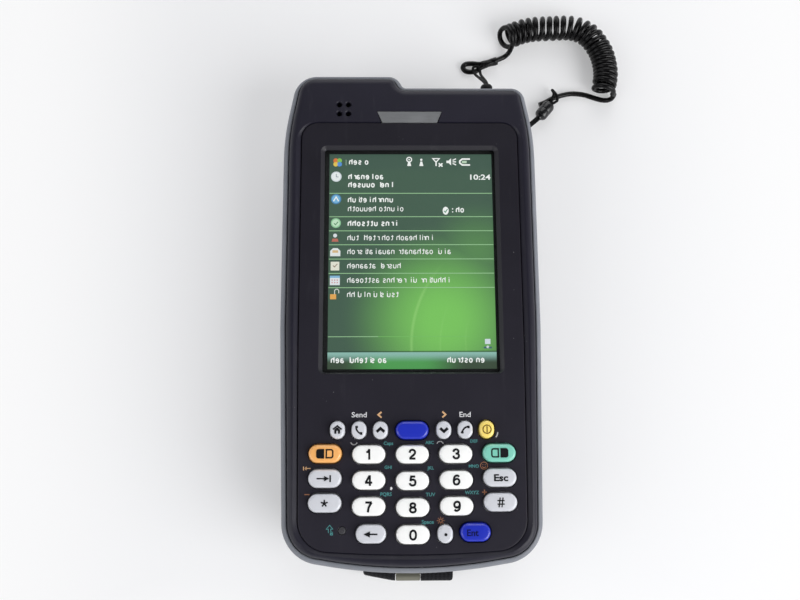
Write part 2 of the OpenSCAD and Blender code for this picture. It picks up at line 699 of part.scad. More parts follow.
module main_board() {
    color([0.1, 0.35, 0.2]) {
        box([-board_half_w, board_y0, board_z], [board_half_w, board_y1, board_z + board_t]);
        for (chip = [[-10, 92, 14, 14, 1.4], [10, 86, 12, 9, 1.2], [0, 52, 22, 16, 2],
                     [-12, 22, 10, 8, 1.2], [12, 18, 15, 12, 1.8]])
            translate([chip[0], board_y0 + chip[1], board_z + board_t + chip[4] / 2])
                cube([chip[2], chip[3], chip[4]], center = true);
    }
}

module keypad_board() {
    color([0.1, 0.35, 0.2])
        box([-keypad_half_w, panel_bottom_y + 1.8, keypad_board_z],
            [keypad_half_w, keypad_top_y, keypad_board_z + board_t]);
}

module keypad_membrane() {
    color([0.75, 0.76, 0.78]) {
        box([-keypad_half_w, panel_bottom_y + 1.8, membrane_z],
            [keypad_half_w, keypad_top_y, membrane_z + membrane_t]);
        for (k = KEYS) at_key(k) translate([0, 0, membrane_z + membrane_t])
            cylinder(dome_top_z - membrane_z - membrane_t, 1.9, 1.4);
    }
}

module key(k) {
    white = [0.93, 0.93, 0.95];
    tints = [["scan", [0.15, 0.2, 0.65]], ["enter", [0.15, 0.2, 0.65]],
             ["power", [0.95, 0.8, 0.25]], ["shift_orange", [0.9, 0.45, 0.15]],
             ["shift_green", [0.25, 0.65, 0.5]]];
    found = search([k[0]], tints)[0];
    crown_r = 30;
    top_z = panel_z + key_proud;
    color(is_num(found) ? tints[found][1] : white) at_key(k) {
        translate([0, 0, flange_z])
            pill(k[3] + 2 * flange_grow, key_h + 2 * flange_grow, flange_t);
        intersection() {
            translate([0, 0, flange_z]) pill(k[3], key_h, top_z - flange_z);
            translate([0, 0, top_z - crown_r]) sphere(crown_r, $fn = 96);
        }
    }
}

module status_window() {
    color([0.7, 0.72, 0.72, 0.8]) translate([0, 0, plate_under_z + 0.1])
        linear_extrude(rim_z - 0.1 - plate_under_z - 0.1) polygon([
            [-window_half_bottom, panel_top_y + panel_gap],
            [window_half_bottom, panel_top_y + panel_gap],
            [window_half_top, window_top_y], [-window_half_top, window_top_y]]);
}

module shift_led() {
    z0 = membrane_z + membrane_t;
    color([0.4, 0.4, 0.43]) translate([shift_led_x, last_row_y + row_rise[4], z0])
        cylinder(panel_z + 0.1 - z0, shift_led_r, shift_led_r);
}

module earpiece() {
    color([0.2, 0.2, 0.2]) translate([earpiece_x, earpiece_y, plate_under_z - 2.8]) {
        cylinder(2.8, earpiece_r, earpiece_r);
        translate([0, 0, -1.2]) cylinder(1.2, earpiece_r - 1, earpiece_r - 1);
    }
}

module scan_window() {
    color([0.35, 0.05, 0.08, 0.8])
        box([scan_window_x - scan_window_w / 2 + fit_gap, top_y - 5.2, scan_window_z + fit_gap],
            [scan_window_x + scan_window_w / 2 - fit_gap, top_y - 4,
             scan_window_z + scan_window_h - fit_gap]);
}

module scan_engine() {
    w = scan_window_w + 1;
    color([0.15, 0.15, 0.17]) translate([scan_window_x, top_y - 20, rear_floor_z]) difference() {
        union() {
            translate([-w / 2, 0, 0]) cube([w, 12.4, 8.6]);
            translate([-4, 12.4, 4.2]) rotate([-90, 0, 0]) cylinder(1.6, 2.6, 2.6);
        }
        translate([-4, 10, 4.2]) rotate([-90, 0, 0]) cylinder(6, 1.8, 1.8);
        translate([3, 11, 1.6]) cube([4, 3, 4]);
    }
}

module headset_jack() {
    color([0.1, 0.1, 0.1]) translate([half_w - bumper_t - fit_gap, jack_y, jack_z])
        rotate([0, -90, 0]) difference() {
            cylinder(jack_l, jack_r, jack_r);
            translate([0, 0, -1]) cylinder(jack_depth + 1, jack_bore_d / 2, jack_bore_d / 2);
        }
}

module dock_connector() {
    color([0.12, 0.12, 0.12]) translate([0, bottom_y + 2.5, dock_z]) {
        difference() {
            translate([-dock_w / 2, 0, 0]) cube([dock_w, dock_l, dock_h]);
            translate([-dock_w / 2 + 2, -1, 0.9]) cube([dock_w - 4, 5, dock_h - 1.8]);
        }
        translate([-dock_w / 2 + 3, 0.4, 1.8]) cube([dock_w - 6, 4, 0.8]);
    }
}

// Side buttons

// A scan button on the left or right side, with the flange that keeps it in
module scan_button(side) {
    color([0.16, 0.16, 0.18]) translate([0, scan_button_y, side_z]) mirror([side < 0 ? 1 : 0, 0, 0]) {
        side_pill(scan_button_l, side_button_h, flange_x - 0.8, half_w - side_proud);
        side_pill(scan_button_l + 2, side_button_h + 2, flange_x - 0.8, flange_x);
    }
}

module volume_rocker() {
    color([0.16, 0.16, 0.18]) translate([0, volume_y, side_z]) {
        mirror([1, 0, 0])
            side_pill(volume_l, side_button_h, wall_mid_x - 0.6, half_w - side_proud);
        translate([-wall_mid_x, 0, -3.1]) cylinder(6.2, 0.55, 0.55);
    }
}

// Back

module battery_pack() {
    color([0.14, 0.14, 0.16]) difference() {
        box([-battery_w / 2, battery_y - battery_l / 2, battery_z],
            [battery_w / 2, battery_y + battery_l / 2, battery_z + battery_t]);
        box([-battery_w / 2 + 6, battery_y - 24, battery_z - 1],
            [battery_w / 2 - 6, battery_y + 24, battery_z + 0.4]);
        box([-9, battery_y - battery_l / 2 - 1, battery_z - 1],
            [9, battery_y - battery_l / 2 + 2.4, battery_z + 2]);
    }
}

module battery_latch() {
    color([0.3, 0.3, 0.33]) translate([0, latch_y1 - latch_l / 2, rear_back_z]) {
        translate([-latch_w / 2, -latch_l / 2, 0]) cube([latch_w, latch_l, latch_h]);
        for (i = [-1:1]) translate([-5, i * 2 - 0.4, -0.3]) cube([10, 0.8, 0.3]);
    }
}

module hand_strap() {
    loops = [[pin_y, strap_w], [hook_y, strap_w]];
    color([0.09, 0.09, 0.1]) difference() {
        translate([strap_x - strap_w / 2, 0, 0]) {
            for (end = loops) translate([0, end[0], pin_z]) rotate([0, 90, 0])
                difference() {
                    cylinder(strap_w, strap_loop_r, strap_loop_r);
                    translate([0, 0, -1])
                        cylinder(strap_w + 2, pin_r + pin_gap, pin_r + pin_gap);
                }
            translate([0, hook_y, strap_z]) cube([strap_w, pin_y - hook_y, strap_t]);
        }
        box([strap_x - hook_w / 2 - 0.3, hook_y - 6, -1],
            [strap_x + hook_w / 2 + 0.3, hook_y + 6, pin_z + 6]);
    }
}

module strap_pin() {
    color([0.65, 0.65, 0.67]) translate([-pin_half, pin_y, pin_z]) rotate([0, 90, 0])
        cylinder(2 * pin_half, pin_r, pin_r);
}

module strap_hook() {
    color([0.7, 0.69, 0.65]) translate([strap_x, hook_y, pin_z]) {
        rotate([0, 90, 0]) translate([0, 0, -strap_w / 2 + 0.6])
            cylinder(strap_w - 1.2, pin_r, pin_r);
        rotate([0, 90, 0]) translate([0, 0, -hook_w / 2]) cylinder(hook_w, hook_r, hook_r);
        translate([-hook_w / 2, hook_r - hook_leg_t - 1.5, 0])
            cube([hook_w, hook_leg_t, hook_slot_z + 0.6 - pin_z]);
        translate([-hook_w / 2, hook_r - hook_leg_t - 1.5, hook_slot_z - 0.6 - pin_z])
            cube([hook_w, 5.4, 1.2]);
    }
}

// Stylus and tether

module stylus() {
    tip_l = 6;
    r = stylus_d / 2;
    color([0.08, 0.08, 0.09]) difference() {
        translate([stylus_x, stylus_y1, stylus_z]) rotate([90, 0, 0]) {
            translate([0, 0, 3]) cylinder(stylus_l - 3 - tip_l, r, r);
            cylinder(3, r - 0.8, r);
            translate([0, 0, stylus_l - tip_l]) cylinder(tip_l, r, 0.6);
        }
        translate([stylus_x - 5, stylus_y1 - 1.4, stylus_z]) rotate([0, 90, 0])
            cylinder(10, 0.7, 0.7);
    }
}

module tether_anchor() {
    y0 = top_y - hump_h - bumper_t - wall;
    color([0.07, 0.07, 0.08]) difference() {
        union() {
            translate([anchor_x, y0, anchor_z]) rotate([-90, 0, 0])
                cylinder(top_y - 1.4 - y0, anchor_r, anchor_r);
            translate([anchor_x, top_y - 1.6, anchor_z]) sphere(1.4);
        }
        translate([anchor_x - 4, top_y - 1.5, anchor_z]) rotate([0, 90, 0])
            cylinder(8, 0.6, 0.6);
    }
}

module tether_string() {
    color([0.06, 0.06, 0.06]) tube(smooth(STRING, 2), string_d, 8);
}

module tether_head() {
    color([0.06, 0.06, 0.06]) tube(smooth(HEAD, 2), cord_d, 8);
}

module tether_coil() {
    color([0.08, 0.08, 0.08]) tube(smooth(COIL, 1), coil_d, 12);
}

module tether_tail() {
    color([0.06, 0.06, 0.06]) tube(smooth(TAIL, 2), cord_d, 8);
}

module tether_barrel() {
    color([0.05, 0.05, 0.06]) translate(BARREL) rotate([0, 90, barrel_a])
        translate([0, 0, -barrel_l / 2]) cylinder(barrel_l, barrel_r, barrel_r);
}

module tether_link() {
    color([0.06, 0.06, 0.06]) tube(smooth(LINK, 2), 1.8 * string_d, 8);
}

rear_housing();
front_housing();
bumper();
face_panel();
housing_screws();
touch_glass();
lcd_module();
mid_frame();
main_board();
keypad_board();
keypad_membrane();
status_window();
shift_led();
earpiece();
scan_window();
scan_engine();
headset_jack();
dock_connector();
scan_button(-1);  // left_scan_button
scan_button(1);  // right_scan_button
volume_rocker();
battery_pack();
battery_latch();
hand_strap();
strap_pin();
strap_hook();
stylus();
tether_anchor();
tether_string();
tether_head();
tether_coil();
tether_tail();
tether_barrel();
tether_link();
for (k = KEYS) key(k);
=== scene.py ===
"""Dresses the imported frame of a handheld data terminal: case, display, keypad, strap, tether."""
import json
from functools import partial
from math import cos, pi, radians, sin, tan, tau

import bmesh
import bpy
import numpy as np
from bpy.props import FloatProperty, FloatVectorProperty, IntProperty, PointerProperty
from mathutils import Matrix, Vector


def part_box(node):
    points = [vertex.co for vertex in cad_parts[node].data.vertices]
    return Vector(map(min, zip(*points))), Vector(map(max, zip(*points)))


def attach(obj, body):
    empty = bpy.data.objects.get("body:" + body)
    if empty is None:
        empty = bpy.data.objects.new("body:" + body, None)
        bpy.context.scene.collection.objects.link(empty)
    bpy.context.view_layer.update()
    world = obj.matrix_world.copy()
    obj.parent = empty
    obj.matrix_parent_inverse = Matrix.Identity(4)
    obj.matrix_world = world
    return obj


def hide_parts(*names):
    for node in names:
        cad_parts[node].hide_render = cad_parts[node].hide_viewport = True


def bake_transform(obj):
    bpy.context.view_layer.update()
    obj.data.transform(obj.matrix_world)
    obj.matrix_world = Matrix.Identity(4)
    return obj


bl_info = {"name": "Handheld Data Terminal", "version": (1, 0, 0), "blender": (4, 5, 0),
    "location": "View3D > Sidebar > Terminal",
    "description": "Builds a rugged handheld data terminal around its packed frame",
    "category": "Add Mesh"}

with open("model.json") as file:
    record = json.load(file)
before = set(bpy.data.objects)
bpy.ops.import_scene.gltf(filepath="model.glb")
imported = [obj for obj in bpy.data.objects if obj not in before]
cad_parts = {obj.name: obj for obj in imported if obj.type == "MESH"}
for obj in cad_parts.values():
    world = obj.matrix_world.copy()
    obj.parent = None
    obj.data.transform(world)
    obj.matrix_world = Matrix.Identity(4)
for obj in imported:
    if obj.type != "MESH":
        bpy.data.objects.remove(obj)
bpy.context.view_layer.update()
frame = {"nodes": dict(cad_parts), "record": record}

MM = 0.001
CASE = "terminal"


def ends(node):
    """Lowest and highest corner of a frame node, in millimetres."""
    low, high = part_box(node)
    return np.array(low) / MM, np.array(high) / MM


def middle(node):
    low, high = ends(node)
    return (low + high) / 2


def placed(name, data):
    """A new object in the scene."""
    obj = bpy.data.objects.new(name, data)
    bpy.context.scene.collection.objects.link(obj)
    return obj


(_, BOTTOM_Y, _), (HALF_W, TOP_Y, _) = ends("bumper")
RIM_Z = ends("front_housing")[1][2]
PANEL_Z = ends("face_panel")[1][2]
PANEL_HALF = ends("face_panel")[1][0] - 0.8
PANEL_TOP_Y = ends("face_panel")[1][1] - 0.8
PANEL_BOTTOM_Y = ends("face_panel")[0][1] + 0.8
WAIST_Y, SIDE_Z = BOTTOM_Y + 75, 21.5
GLASS_LOW, GLASS_HIGH = ends("touch_glass")
PICTURE_W = GLASS_HIGH[0] - GLASS_LOW[0] - 4.3
PICTURE_L = GLASS_HIGH[1] - GLASS_LOW[1] - 4.4
PICTURE_Y = (GLASS_HIGH[1] + GLASS_LOW[1]) / 2
PICTURE_RIGHT, PICTURE_UP = 0.3, 0.2
SIDE_R, SHOULDER_A, TAPER, TAPER_A, BOW_R, BOW_A = 80, 11, 1.55, 1.5, 155, 10
SHOULDER_Y = TOP_Y - 28.8
HUMP_H, HUMP_EDGE_X, HUMP_STEP_A, HUMP_STEP_R, HUMP_END_R = 4, -0.9, 60, 1.4, 4.6
KEYS = sorted(n[4:] for n in frame["nodes"] if n.startswith("key_"))


# ---- Settings ----

def colour(name, description, default):
    return FloatVectorProperty(name=name, description=description, subtype="COLOR", size=3, min=0, max=1,
        default=default)


def length(name, description, default):
    return FloatProperty(name=name, description=description, unit="LENGTH", min=0, default=default)


def amount(name, description, default):
    return FloatProperty(name=name, description=description, min=0, default=default)


class CaseSettings(bpy.types.PropertyGroup):
    frame_colour: colour("Frame", "Colour of the moulded housings", (0.0105, 0.0095, 0.0185))
    panel_colour: colour("Panel", "Colour of the face panel", (0.0125, 0.0114, 0.017))
    rubber_colour: colour("Bumper", "Colour of the rubber bumper", (0.156, 0.165, 0.187))


class DisplaySettings(bpy.types.PropertyGroup):
    dark_green: colour("Dark green", "Picture colour at its upper left", (0.066, 0.123, 0.087))
    bright_green: colour("Bright green", "Picture colour at its lower right", (0.225, 0.63, 0.13))
    brightness: FloatProperty(name="Brightness", description="How strongly the picture glows", min=0,
        max=2, default=1.0)


class KeypadSettings(bpy.types.PropertyGroup):
    white: colour("White keys", "Colour of the number keys", (0.96, 0.96, 0.94))
    grey: colour("Grey keys", "Colour of the side keys", (0.64, 0.65, 0.69))
    blue: colour("Blue keys", "Colour of the scan and enter keys", (0.012, 0.027, 0.46))
    orange: colour("Orange key", "Colour of the left shift key", (0.92, 0.45, 0.14))
    green: colour("Green key", "Colour of the right shift key", (0.22, 0.62, 0.49))
    yellow: colour("Yellow key", "Colour of the power key", (0.94, 0.72, 0.17))
    teal_ink: colour("Teal ink", "Colour of the second legends", (0.075, 0.26, 0.26))
    orange_ink: colour("Orange ink", "Colour of the third legends", (0.36, 0.16, 0.085))
    edge_radius: length("Key edge", "Rounding of a key's top edge", 0.00085)


class TetherSettings(bpy.types.PropertyGroup):
    cord_diameter: length("Cord", "Diameter of the coiled cord", 0.0018)
    coil_diameter: length("Coil", "Outer diameter of the coil", 0.0088)
    string_diameter: length("String", "Diameter of the string loops", 0.001)
    turns: IntProperty(name="Turns", description="Turns of the coil", min=4, max=40, default=26)


class StageSettings(bpy.types.PropertyGroup):
    floor_colour: colour("Floor", "Colour of the floor", (0.86, 0.86, 0.87))
    key_light: amount("Key light", "Power of the large lamp", 7.7)
    fill_light: amount("Fill light", "Power of the other lamps", 2.8)
    sky_light: amount("Sky light", "Strength of the sky's rim", 1.25)


def settings(group):
    return getattr(bpy.context.scene, "terminal_" + group)


# ---- Shader values and materials ----

def math_node(operation, swapped=False):
    """A way of Value that adds one Math node."""
    def way(self, *others):
        given = (*others, self) if swapped else (self, *others)
        return self.finish.node("Math", {"operation": operation}, dict(enumerate(given)))
    return way


class Value:
    """A number in a material's tree; sums on it add their own Math nodes."""

    def __init__(self, finish, socket):
        self.finish, self.socket = finish, socket

    __add__ = __radd__ = math_node("ADD")
    __mul__ = __rmul__ = math_node("MULTIPLY")
    __sub__, __rsub__ = math_node("SUBTRACT"), math_node("SUBTRACT", swapped=True)
    __truediv__, __pow__ = math_node("DIVIDE"), math_node("POWER")
    sin, abs, sqrt = math_node("SINE"), math_node("ABSOLUTE"), math_node("SQRT")
    least, most = math_node("MINIMUM"), math_node("MAXIMUM")

    def fade(self, low, high):
        """0 below low, 1 above high, and smooth between."""
        return self.finish.node("MapRange", {"interpolation_type": "SMOOTHSTEP"},
            {"Value": self, "From Min": low, "From Max": high})


class Finish:
    """The node tree of one material, with short ways to fill it."""

    def __init__(self, name, world=False):
        self.block = (bpy.data.worlds if world else bpy.data.materials).new(name)
        self.block.use_nodes = True
        self.tree = self.block.node_tree
        self.tree.nodes.clear()

    def node(self, kind, choices=None, inputs=None, output=0):
        """Adds a node, sets its choices, fills its sockets and gives the output as a Value."""
        made = self.tree.nodes.new("ShaderNode" + kind)
        for name, choice in (choices or {}).items():
            setattr(made, name, choice)
        for name, given in (inputs or {}).items():
            socket = made.inputs[name]
            if isinstance(given, Value):
                self.tree.links.new(given.socket, socket)
            elif isinstance(given, (tuple, list)) and len(given) == 3 and socket.type == "RGBA":
                socket.default_value = (*given, 1)
            else:
                socket.default_value = given
        outputs = made.outputs
        return Value(self, outputs[output]) if len(outputs) else made

    def place(self):
        return self.node("TexCoord", output="Object")

    def axes(self, place=None):
        """The x, y and z of a place, in millimetres."""
        split = self.tree.nodes.new("ShaderNodeSeparateXYZ")
        self.tree.links.new((place or self.place()).socket, split.inputs[0])
        return [Value(self, s) * 1000 for s in split.outputs]

    def noise(self, size_mm, detail=2.0, roughness=0.5, stretch=None):
        place = self.place()
        if stretch:
            place = self.node("VectorMath", {"operation": "MULTIPLY"}, {0: place, 1: stretch})
        return self.node("TexNoise", inputs={"Vector": place, "Scale": 1000 / size_mm,
            "Detail": detail, "Roughness": roughness})

    def cells(self, size_mm):
        return self.node("TexVoronoi", inputs={"Vector": self.place(), "Scale": 1000 / size_mm},
            output="Distance")

    def mix(self, share, first, second):
        """A colour between two, by a share from 0 to 1."""
        return self.node("Mix", {"data_type": "RGBA"}, {0: share, 6: first, 7: second}, output=2)

    def bump(self, height, depth_mm, strength):
        return self.node("Bump", inputs={"Height": height, "Distance": depth_mm * MM,
            "Strength": strength})

    def surface(self, colour, roughness, **more):
        """Ends the material in one Principled shader; underscores stand for spaces."""
        return self.end(self.node("BsdfPrincipled", inputs={"Base Color": colour,
            "Roughness": roughness, **{name.replace("_", " "): given for name, given in more.items()}}))

    def end(self, shader, kind="OutputMaterial"):
        self.node(kind, inputs={"Surface": shader})
        return self.block


def times(tint, share):
    return tuple(c * share for c in tint)


FINISHES = {}


def finish(name):
    """A material by name, made when it is first asked for."""
    if name not in FINISHES:
        FINISHES[name] = MAKERS[name](name)
    return FINISHES[name]


def moulded(tint, roughness=0.5, grain_mm=0.22, depth_mm=0.012, dust=0.5, scuff=0.5, coat=0.0, gloss=0.4,
        paler_below=0.0, name="moulded"):
    """Moulded plastic with a fine grain, mottling, dust specks, rubs and a tone that turns paler towards the
    bottom.
    """
    f = Finish(name)
    grain = f.noise(grain_mm, 3.0)
    blotch = f.noise(14.0, 3.0)
    rub = f.noise(2.4, 4.0, stretch=(1.0, 0.16, 1.0)).fade(0.58, 0.8)
    speck = (0.07 - f.cells(2.6)).fade(0.0, 0.05) * f.noise(9.0).fade(0.5, 0.62)
    base = f.mix(blotch.fade(0.3, 0.7) * 0.35, tint, tuple(min(1.0, c * 1.35) for c in tint))
    base = f.mix(grain.fade(0.35, 0.7) * 0.16, base, times(tint, 0.55))
    base = f.mix(rub * 0.12 * scuff + speck * 0.4 * dust, base, (0.42, 0.42, 0.44))
    # The colour turns paler towards the bottom of the piece (lower Y).
    if paler_below:
        base = f.mix((1 - f.axes()[1].fade(-60, 60)) * paler_below, base, (0.2, 0.19, 0.25))
    rough = grain * 0.12 + (roughness - 0.06) - rub * 0.08 * scuff + blotch * 0.04
    return f.surface(base, rough, Coat_Weight=coat, Specular_IOR_Level=gloss,
        Normal=f.bump(grain, depth_mm, 0.7))


def rubber(tint, name="rubber"):
    """Satin overmoulded rubber with handling marks."""
    f = Finish(name)
    grain, blotch = f.noise(0.3, 4.0), f.noise(8.0, 4.0)
    worn = f.noise(1.1, 5.0, roughness=0.65).fade(0.56, 0.78)
    base = f.mix(blotch.fade(0.3, 0.75) * 0.5, tint, times(tint, 1.3))
    base = f.mix(worn * 0.16, base, (0.34, 0.35, 0.37))
    return f.surface(base, grain * 0.1 + 0.5 + blotch * 0.08, Normal=f.bump(grain + worn * 0.5, 0.01, 0.6))


def keycap(tint, name="keycap"):
    """Hard glossy keycap with a faint depth to its colour."""
    f = Finish(name)
    grain, blotch = f.noise(0.5, 2.0), f.noise(3.0, 2.0)
    base = f.mix(blotch.fade(0.3, 0.7) * 0.2, tint, times(tint, 0.88))
    base = f.mix(f.noise(0.9, 4.0).fade(0.66, 0.8) * 0.08, base, (0.3, 0.28, 0.25))
    return f.surface(base, grain * 0.08 + 0.26, Coat_Weight=0.25, Coat_Roughness=0.2,
        Normal=f.bump(grain, 0.004, 0.4))


def ink(tint, name="ink"):
    """Printed ink with slightly broken cover."""
    f = Finish(name)
    cover = f.noise(0.35, 3.0).fade(0.62, 0.8)
    return f.surface(f.mix(cover * 0.25, tint, times(tint, 0.5)),
        f.noise(0.6) * 0.1 + 0.42, Specular_IOR_Level=0.15)


def webbing(name):
    """Woven elastic webbing with painted shade in the hollows of its weave; it reads the piece's own map, in
    millimetres.
    """
    f = Finish(name)
    u, v, _ = [a / 1000 for a in f.axes(f.node("UVMap"))]
    rib = (u * (tau / 1.3)).sin()
    pick = (v * (tau / 0.62) + rib * 1.3).sin()
    fuzz = f.noise(0.16, 4.0)
    height = rib * 0.5 + pick * 0.5 + fuzz * 0.6
    # Painted shade: the weave's colour follows its height, darker in the hollows between ribs and picks.
    base = f.mix(height.fade(-0.4, 1.2), (0.002, 0.002, 0.003), (0.009, 0.009, 0.012))
    base = f.mix(fuzz.fade(0.6, 0.85) * 0.3, base, (0.04, 0.04, 0.05))
    return f.surface(base, fuzz * 0.15 + 0.75, Sheen_Weight=0.04,
        Sheen_Roughness=0.4, Specular_IOR_Level=0.2, Normal=f.bump(height, 0.07, 0.8))


def thread(tint, name="thread"):
    f = Finish(name)
    twist = f.noise(0.12, 3.0, stretch=(1, 3, 1))
    return f.surface(f.mix(twist, times(tint, 0.5), tint),
        twist * 0.2 + 0.6, Sheen_Weight=0.3, Normal=f.bump(twist, 0.02, 0.7))


def metal(tint, roughness=0.3, brush=(1.0, 30.0, 30.0), name="metal"):
    """Brushed metal whose strokes run along X unless the brush says otherwise."""
    f = Finish(name)
    stroke = f.noise(3.0, 5.0, stretch=brush, roughness=0.7)
    stain = f.noise(5.0, 3.0)
    base = f.mix(stroke.fade(0.3, 0.75) * 0.5, tint, times(tint, 0.62))
    base = f.mix(stain.fade(0.55, 0.8) * 0.3, base, times(tint, 0.45))
    return f.surface(base, stroke * 0.2 + (roughness - 0.08) + stain * 0.06, Metallic=1.0,
        Normal=f.bump(stroke, 0.01, 0.5))


def sheath(name):
    """Smooth black cord sheath with faint pulls along it; it reads the cord's own map."""
    f = Finish(name)
    u = f.axes(f.node("UVMap"))[0] / 1000
    pulls = f.noise(1.1, 3.0)
    wave = (u * 0.9).sin() * 0.5 + 0.5
    base = f.mix(pulls.fade(0.45, 0.75) * 0.5, (0.0015, 0.0013, 0.0015), (0.004, 0.0035, 0.004))
    return f.surface(f.mix(wave * 0.12, base, (0.007, 0.006, 0.0065)),
        pulls * 0.14 + 0.2, Specular_IOR_Level=0.22, Normal=f.bump(pulls, 0.015, 0.4))


def twine(name):
    """Twisted black string, with painted shade in the grooves between its strands; it reads the string's own
    map.
    """
    f = Finish(name)
    u, v, _ = [a / 1000 for a in f.axes(f.node("UVMap"))]
    lay = (u * (tau / 0.9) + v * (2 * tau / 2.8)).sin()
    fuzz = f.noise(0.2, 3.0)
    # Painted shade: the colour follows the lay of the strands, darker in the grooves between them.
    return f.surface(f.mix(lay.fade(-0.7, 1.0), (0.001, 0.001, 0.001), (0.005, 0.005, 0.006)),
        fuzz * 0.2 + 0.5, Specular_IOR_Level=0.15, Normal=f.bump(lay + fuzz, 0.06, 0.8))


def clear_glass(name):
    """Touch glass: see-through, with a soft sheen that shows faint wipe marks."""
    f = Finish(name)
    wipe = f.noise(9.0, 4.0, stretch=(1, 0.4, 1))
    gloss = f.node("BsdfPrincipled", inputs={"Base Color": (0.012, 0.016, 0.014),
        "Roughness": wipe * 0.1 + 0.12})
    through = f.node("BsdfTransparent", inputs={"Color": (0.97, 0.985, 0.975)})
    share = wipe * 0.03 + 0.045
    return f.end(f.node("MixShader", inputs={0: share, 1: through, 2: gloss}))


def tinted_window(tint, roughness, streak, name):
    """Hard tinted window plastic with fine streaks across it."""
    f = Finish(name)
    lines = f.noise(1.6, 4.0, stretch=streak)
    cloud = f.noise(7.0, 2.0)
    base = f.mix(lines.fade(0.3, 0.7) * 0.5, tint, times(tint, 0.72))
    base = f.mix(cloud.fade(0.4, 0.7) * 0.4, base, tuple(min(1, c * 1.3) for c in tint))
    return f.surface(base, lines * 0.1 + roughness, Coat_Weight=0.5,
        Coat_Roughness=0.1, Normal=f.bump(lines, 0.006, 0.4))


def lit_picture(name):
    """The lit picture: dark green at the upper left, bright at the lower right, with sweeps."""
    s = settings("display")
    f = Finish(name)
    x, y, _ = f.axes()
    u = (x - PICTURE_RIGHT) / PICTURE_W + 0.5
    v = 0.5 - (y - (PICTURE_Y + PICTURE_UP)) / PICTURE_L

    def sweep(cx, cy, r, width, soft):
        away = (((u - cx) * (u - cx) + (v - cy) * (v - cy) * 1.78).sqrt() - r)
        return (width - away.abs()).fade(0.0, soft)

    def ball(cx, cy, inner, outer):
        away = ((u - cx) * (u - cx) + (v - cy) * (v - cy) * 1.78).sqrt()
        return 1 - away.fade(inner, outer)

    glow = ball(0.68, 0.78, 0.05, 0.62).most(ball(0.9, 0.46, 0.0, 0.34) * 0.3)
    base = f.mix(glow, tuple(s.dark_green), tuple(s.bright_green))
    arcs = sweep(1.241, 0.897, 0.745, 0.015, 0.018) * v.fade(0.5, 0.72) * 1.3
    arcs = arcs + sweep(1.264, 0.896, 0.597, 0.009, 0.012) * v.fade(0.65, 0.85) * 0.6
    arcs = arcs + sweep(1.27, 0.88, 0.452, 0.009, 0.012) * v.fade(0.7, 0.9) * 0.5
    base = f.mix(arcs.least(1.0) * 0.3, base, (0.45, 0.85, 0.28))
    title = 1 - (v * PICTURE_L).fade(4.4, 6.0)
    base = f.mix(title * 0.4, base, (0.055, 0.1, 0.085))
    foot = (v * PICTURE_L).fade(64.1, 64.3)
    side = (u - 0.45).abs().fade(0.1, 0.38)
    tone = (v * PICTURE_L).fade(64.3, 67.6)
    bar = f.mix(tone, (0.31, 0.56, 0.5), f.mix(side, (0.09, 0.37, 0.1), (0.05, 0.08, 0.05)))
    base = f.mix(foot, base, bar)
    rule = ((v * PICTURE_L) - 64.0).abs()
    base = f.mix((0.3 - rule).fade(0.0, 0.2) * 0.7, base, (0.02, 0.06, 0.045))
    dots = ((x * (tau / 0.44)).sin() * (y * (tau / 0.44)).sin()) * 0.5 + 0.5
    base = f.mix(dots * 0.07, base, (0.01, 0.03, 0.012))
    return f.surface((0.004, 0.006, 0.004), 0.4, Emission_Color=base, Emission_Strength=s.brightness)


def lit_marks(name):
    """Marks of the lit picture, in the colours that their own attribute gives."""
    f = Finish(name)
    tint = f.node("VertexColor", {"layer_name": "tint"})
    faint = f.noise(0.4, 2.0).fade(0.55, 0.8)
    return f.surface((0.01, 0.01, 0.01), 0.4, Emission_Color=f.mix(faint * 0.12, tint, (0.2, 0.3, 0.2)),
        Emission_Strength=settings("display").brightness)


def board(name):
    """Green circuit board with faint tracks and pads."""
    f = Finish(name)
    x, y, _ = f.axes()
    track = ((x * 2.1).sin() * (y * 0.7).sin()).fade(0.55, 0.6)
    pad = (0.22 - f.cells(1.7)).fade(0.0, 0.03)
    base = f.mix(track * 0.5, (0.012, 0.09, 0.035), (0.02, 0.16, 0.06))
    base = f.mix(pad, base, (0.5, 0.45, 0.3))
    return f.surface(base, f.noise(2.0) * 0.2 + 0.3, Normal=f.bump(track + pad, 0.03, 0.6))


def floor_paper(name):
    """Plain pale floor that keeps the shadow; to the eye and in gloss it whitens far away, and it is
    whitened towards the sides and the bottom as painted light.
    """
    f = Finish(name)
    tone = tuple(settings("stage").floor_colour)
    cloud = f.noise(90.0, 2.0)
    paper = f.node("BsdfDiffuse", inputs={"Color": f.mix(cloud * 0.03, tone, (0.8, 0.8, 0.82))})
    seen = f.node("LightPath", output="Is Camera Ray")
    for way in ("Is Glossy Ray", "Is Transmission Ray"):
        seen = seen.most(f.node("LightPath", output=way))
    white = f.node("Emission", inputs={"Color": (1, 1, 1), "Strength": 1.0})
    x, y, _ = f.axes()
    white_share = (x * x + y * y).sqrt().fade(300, 900)
    # Painted light: the floor is whitened towards the left, the right and the bottom, near the case too.
    side = x.abs().fade(70, 145).most(1 - y.fade(-106, -76))
    white_share = white_share.most(side * 0.6)
    return f.end(f.node("MixShader", inputs={0: seen * (white_share * 0.7 + 0.3), 1: paper, 2: white}))


def by_name(kind, table):
    """Makers of one kind of material, from each name's values."""
    return {name: (lambda n, given=given: kind(*given, name=n)) for name, given in table.items()}


def by_setting(kind, group, table):
    """Makers of one kind of material, from the setting that gives each name's colour."""
    return {name: (lambda n, prop=prop: kind(tuple(getattr(settings(group), prop)), name=n))
        for name, prop in table.items()}


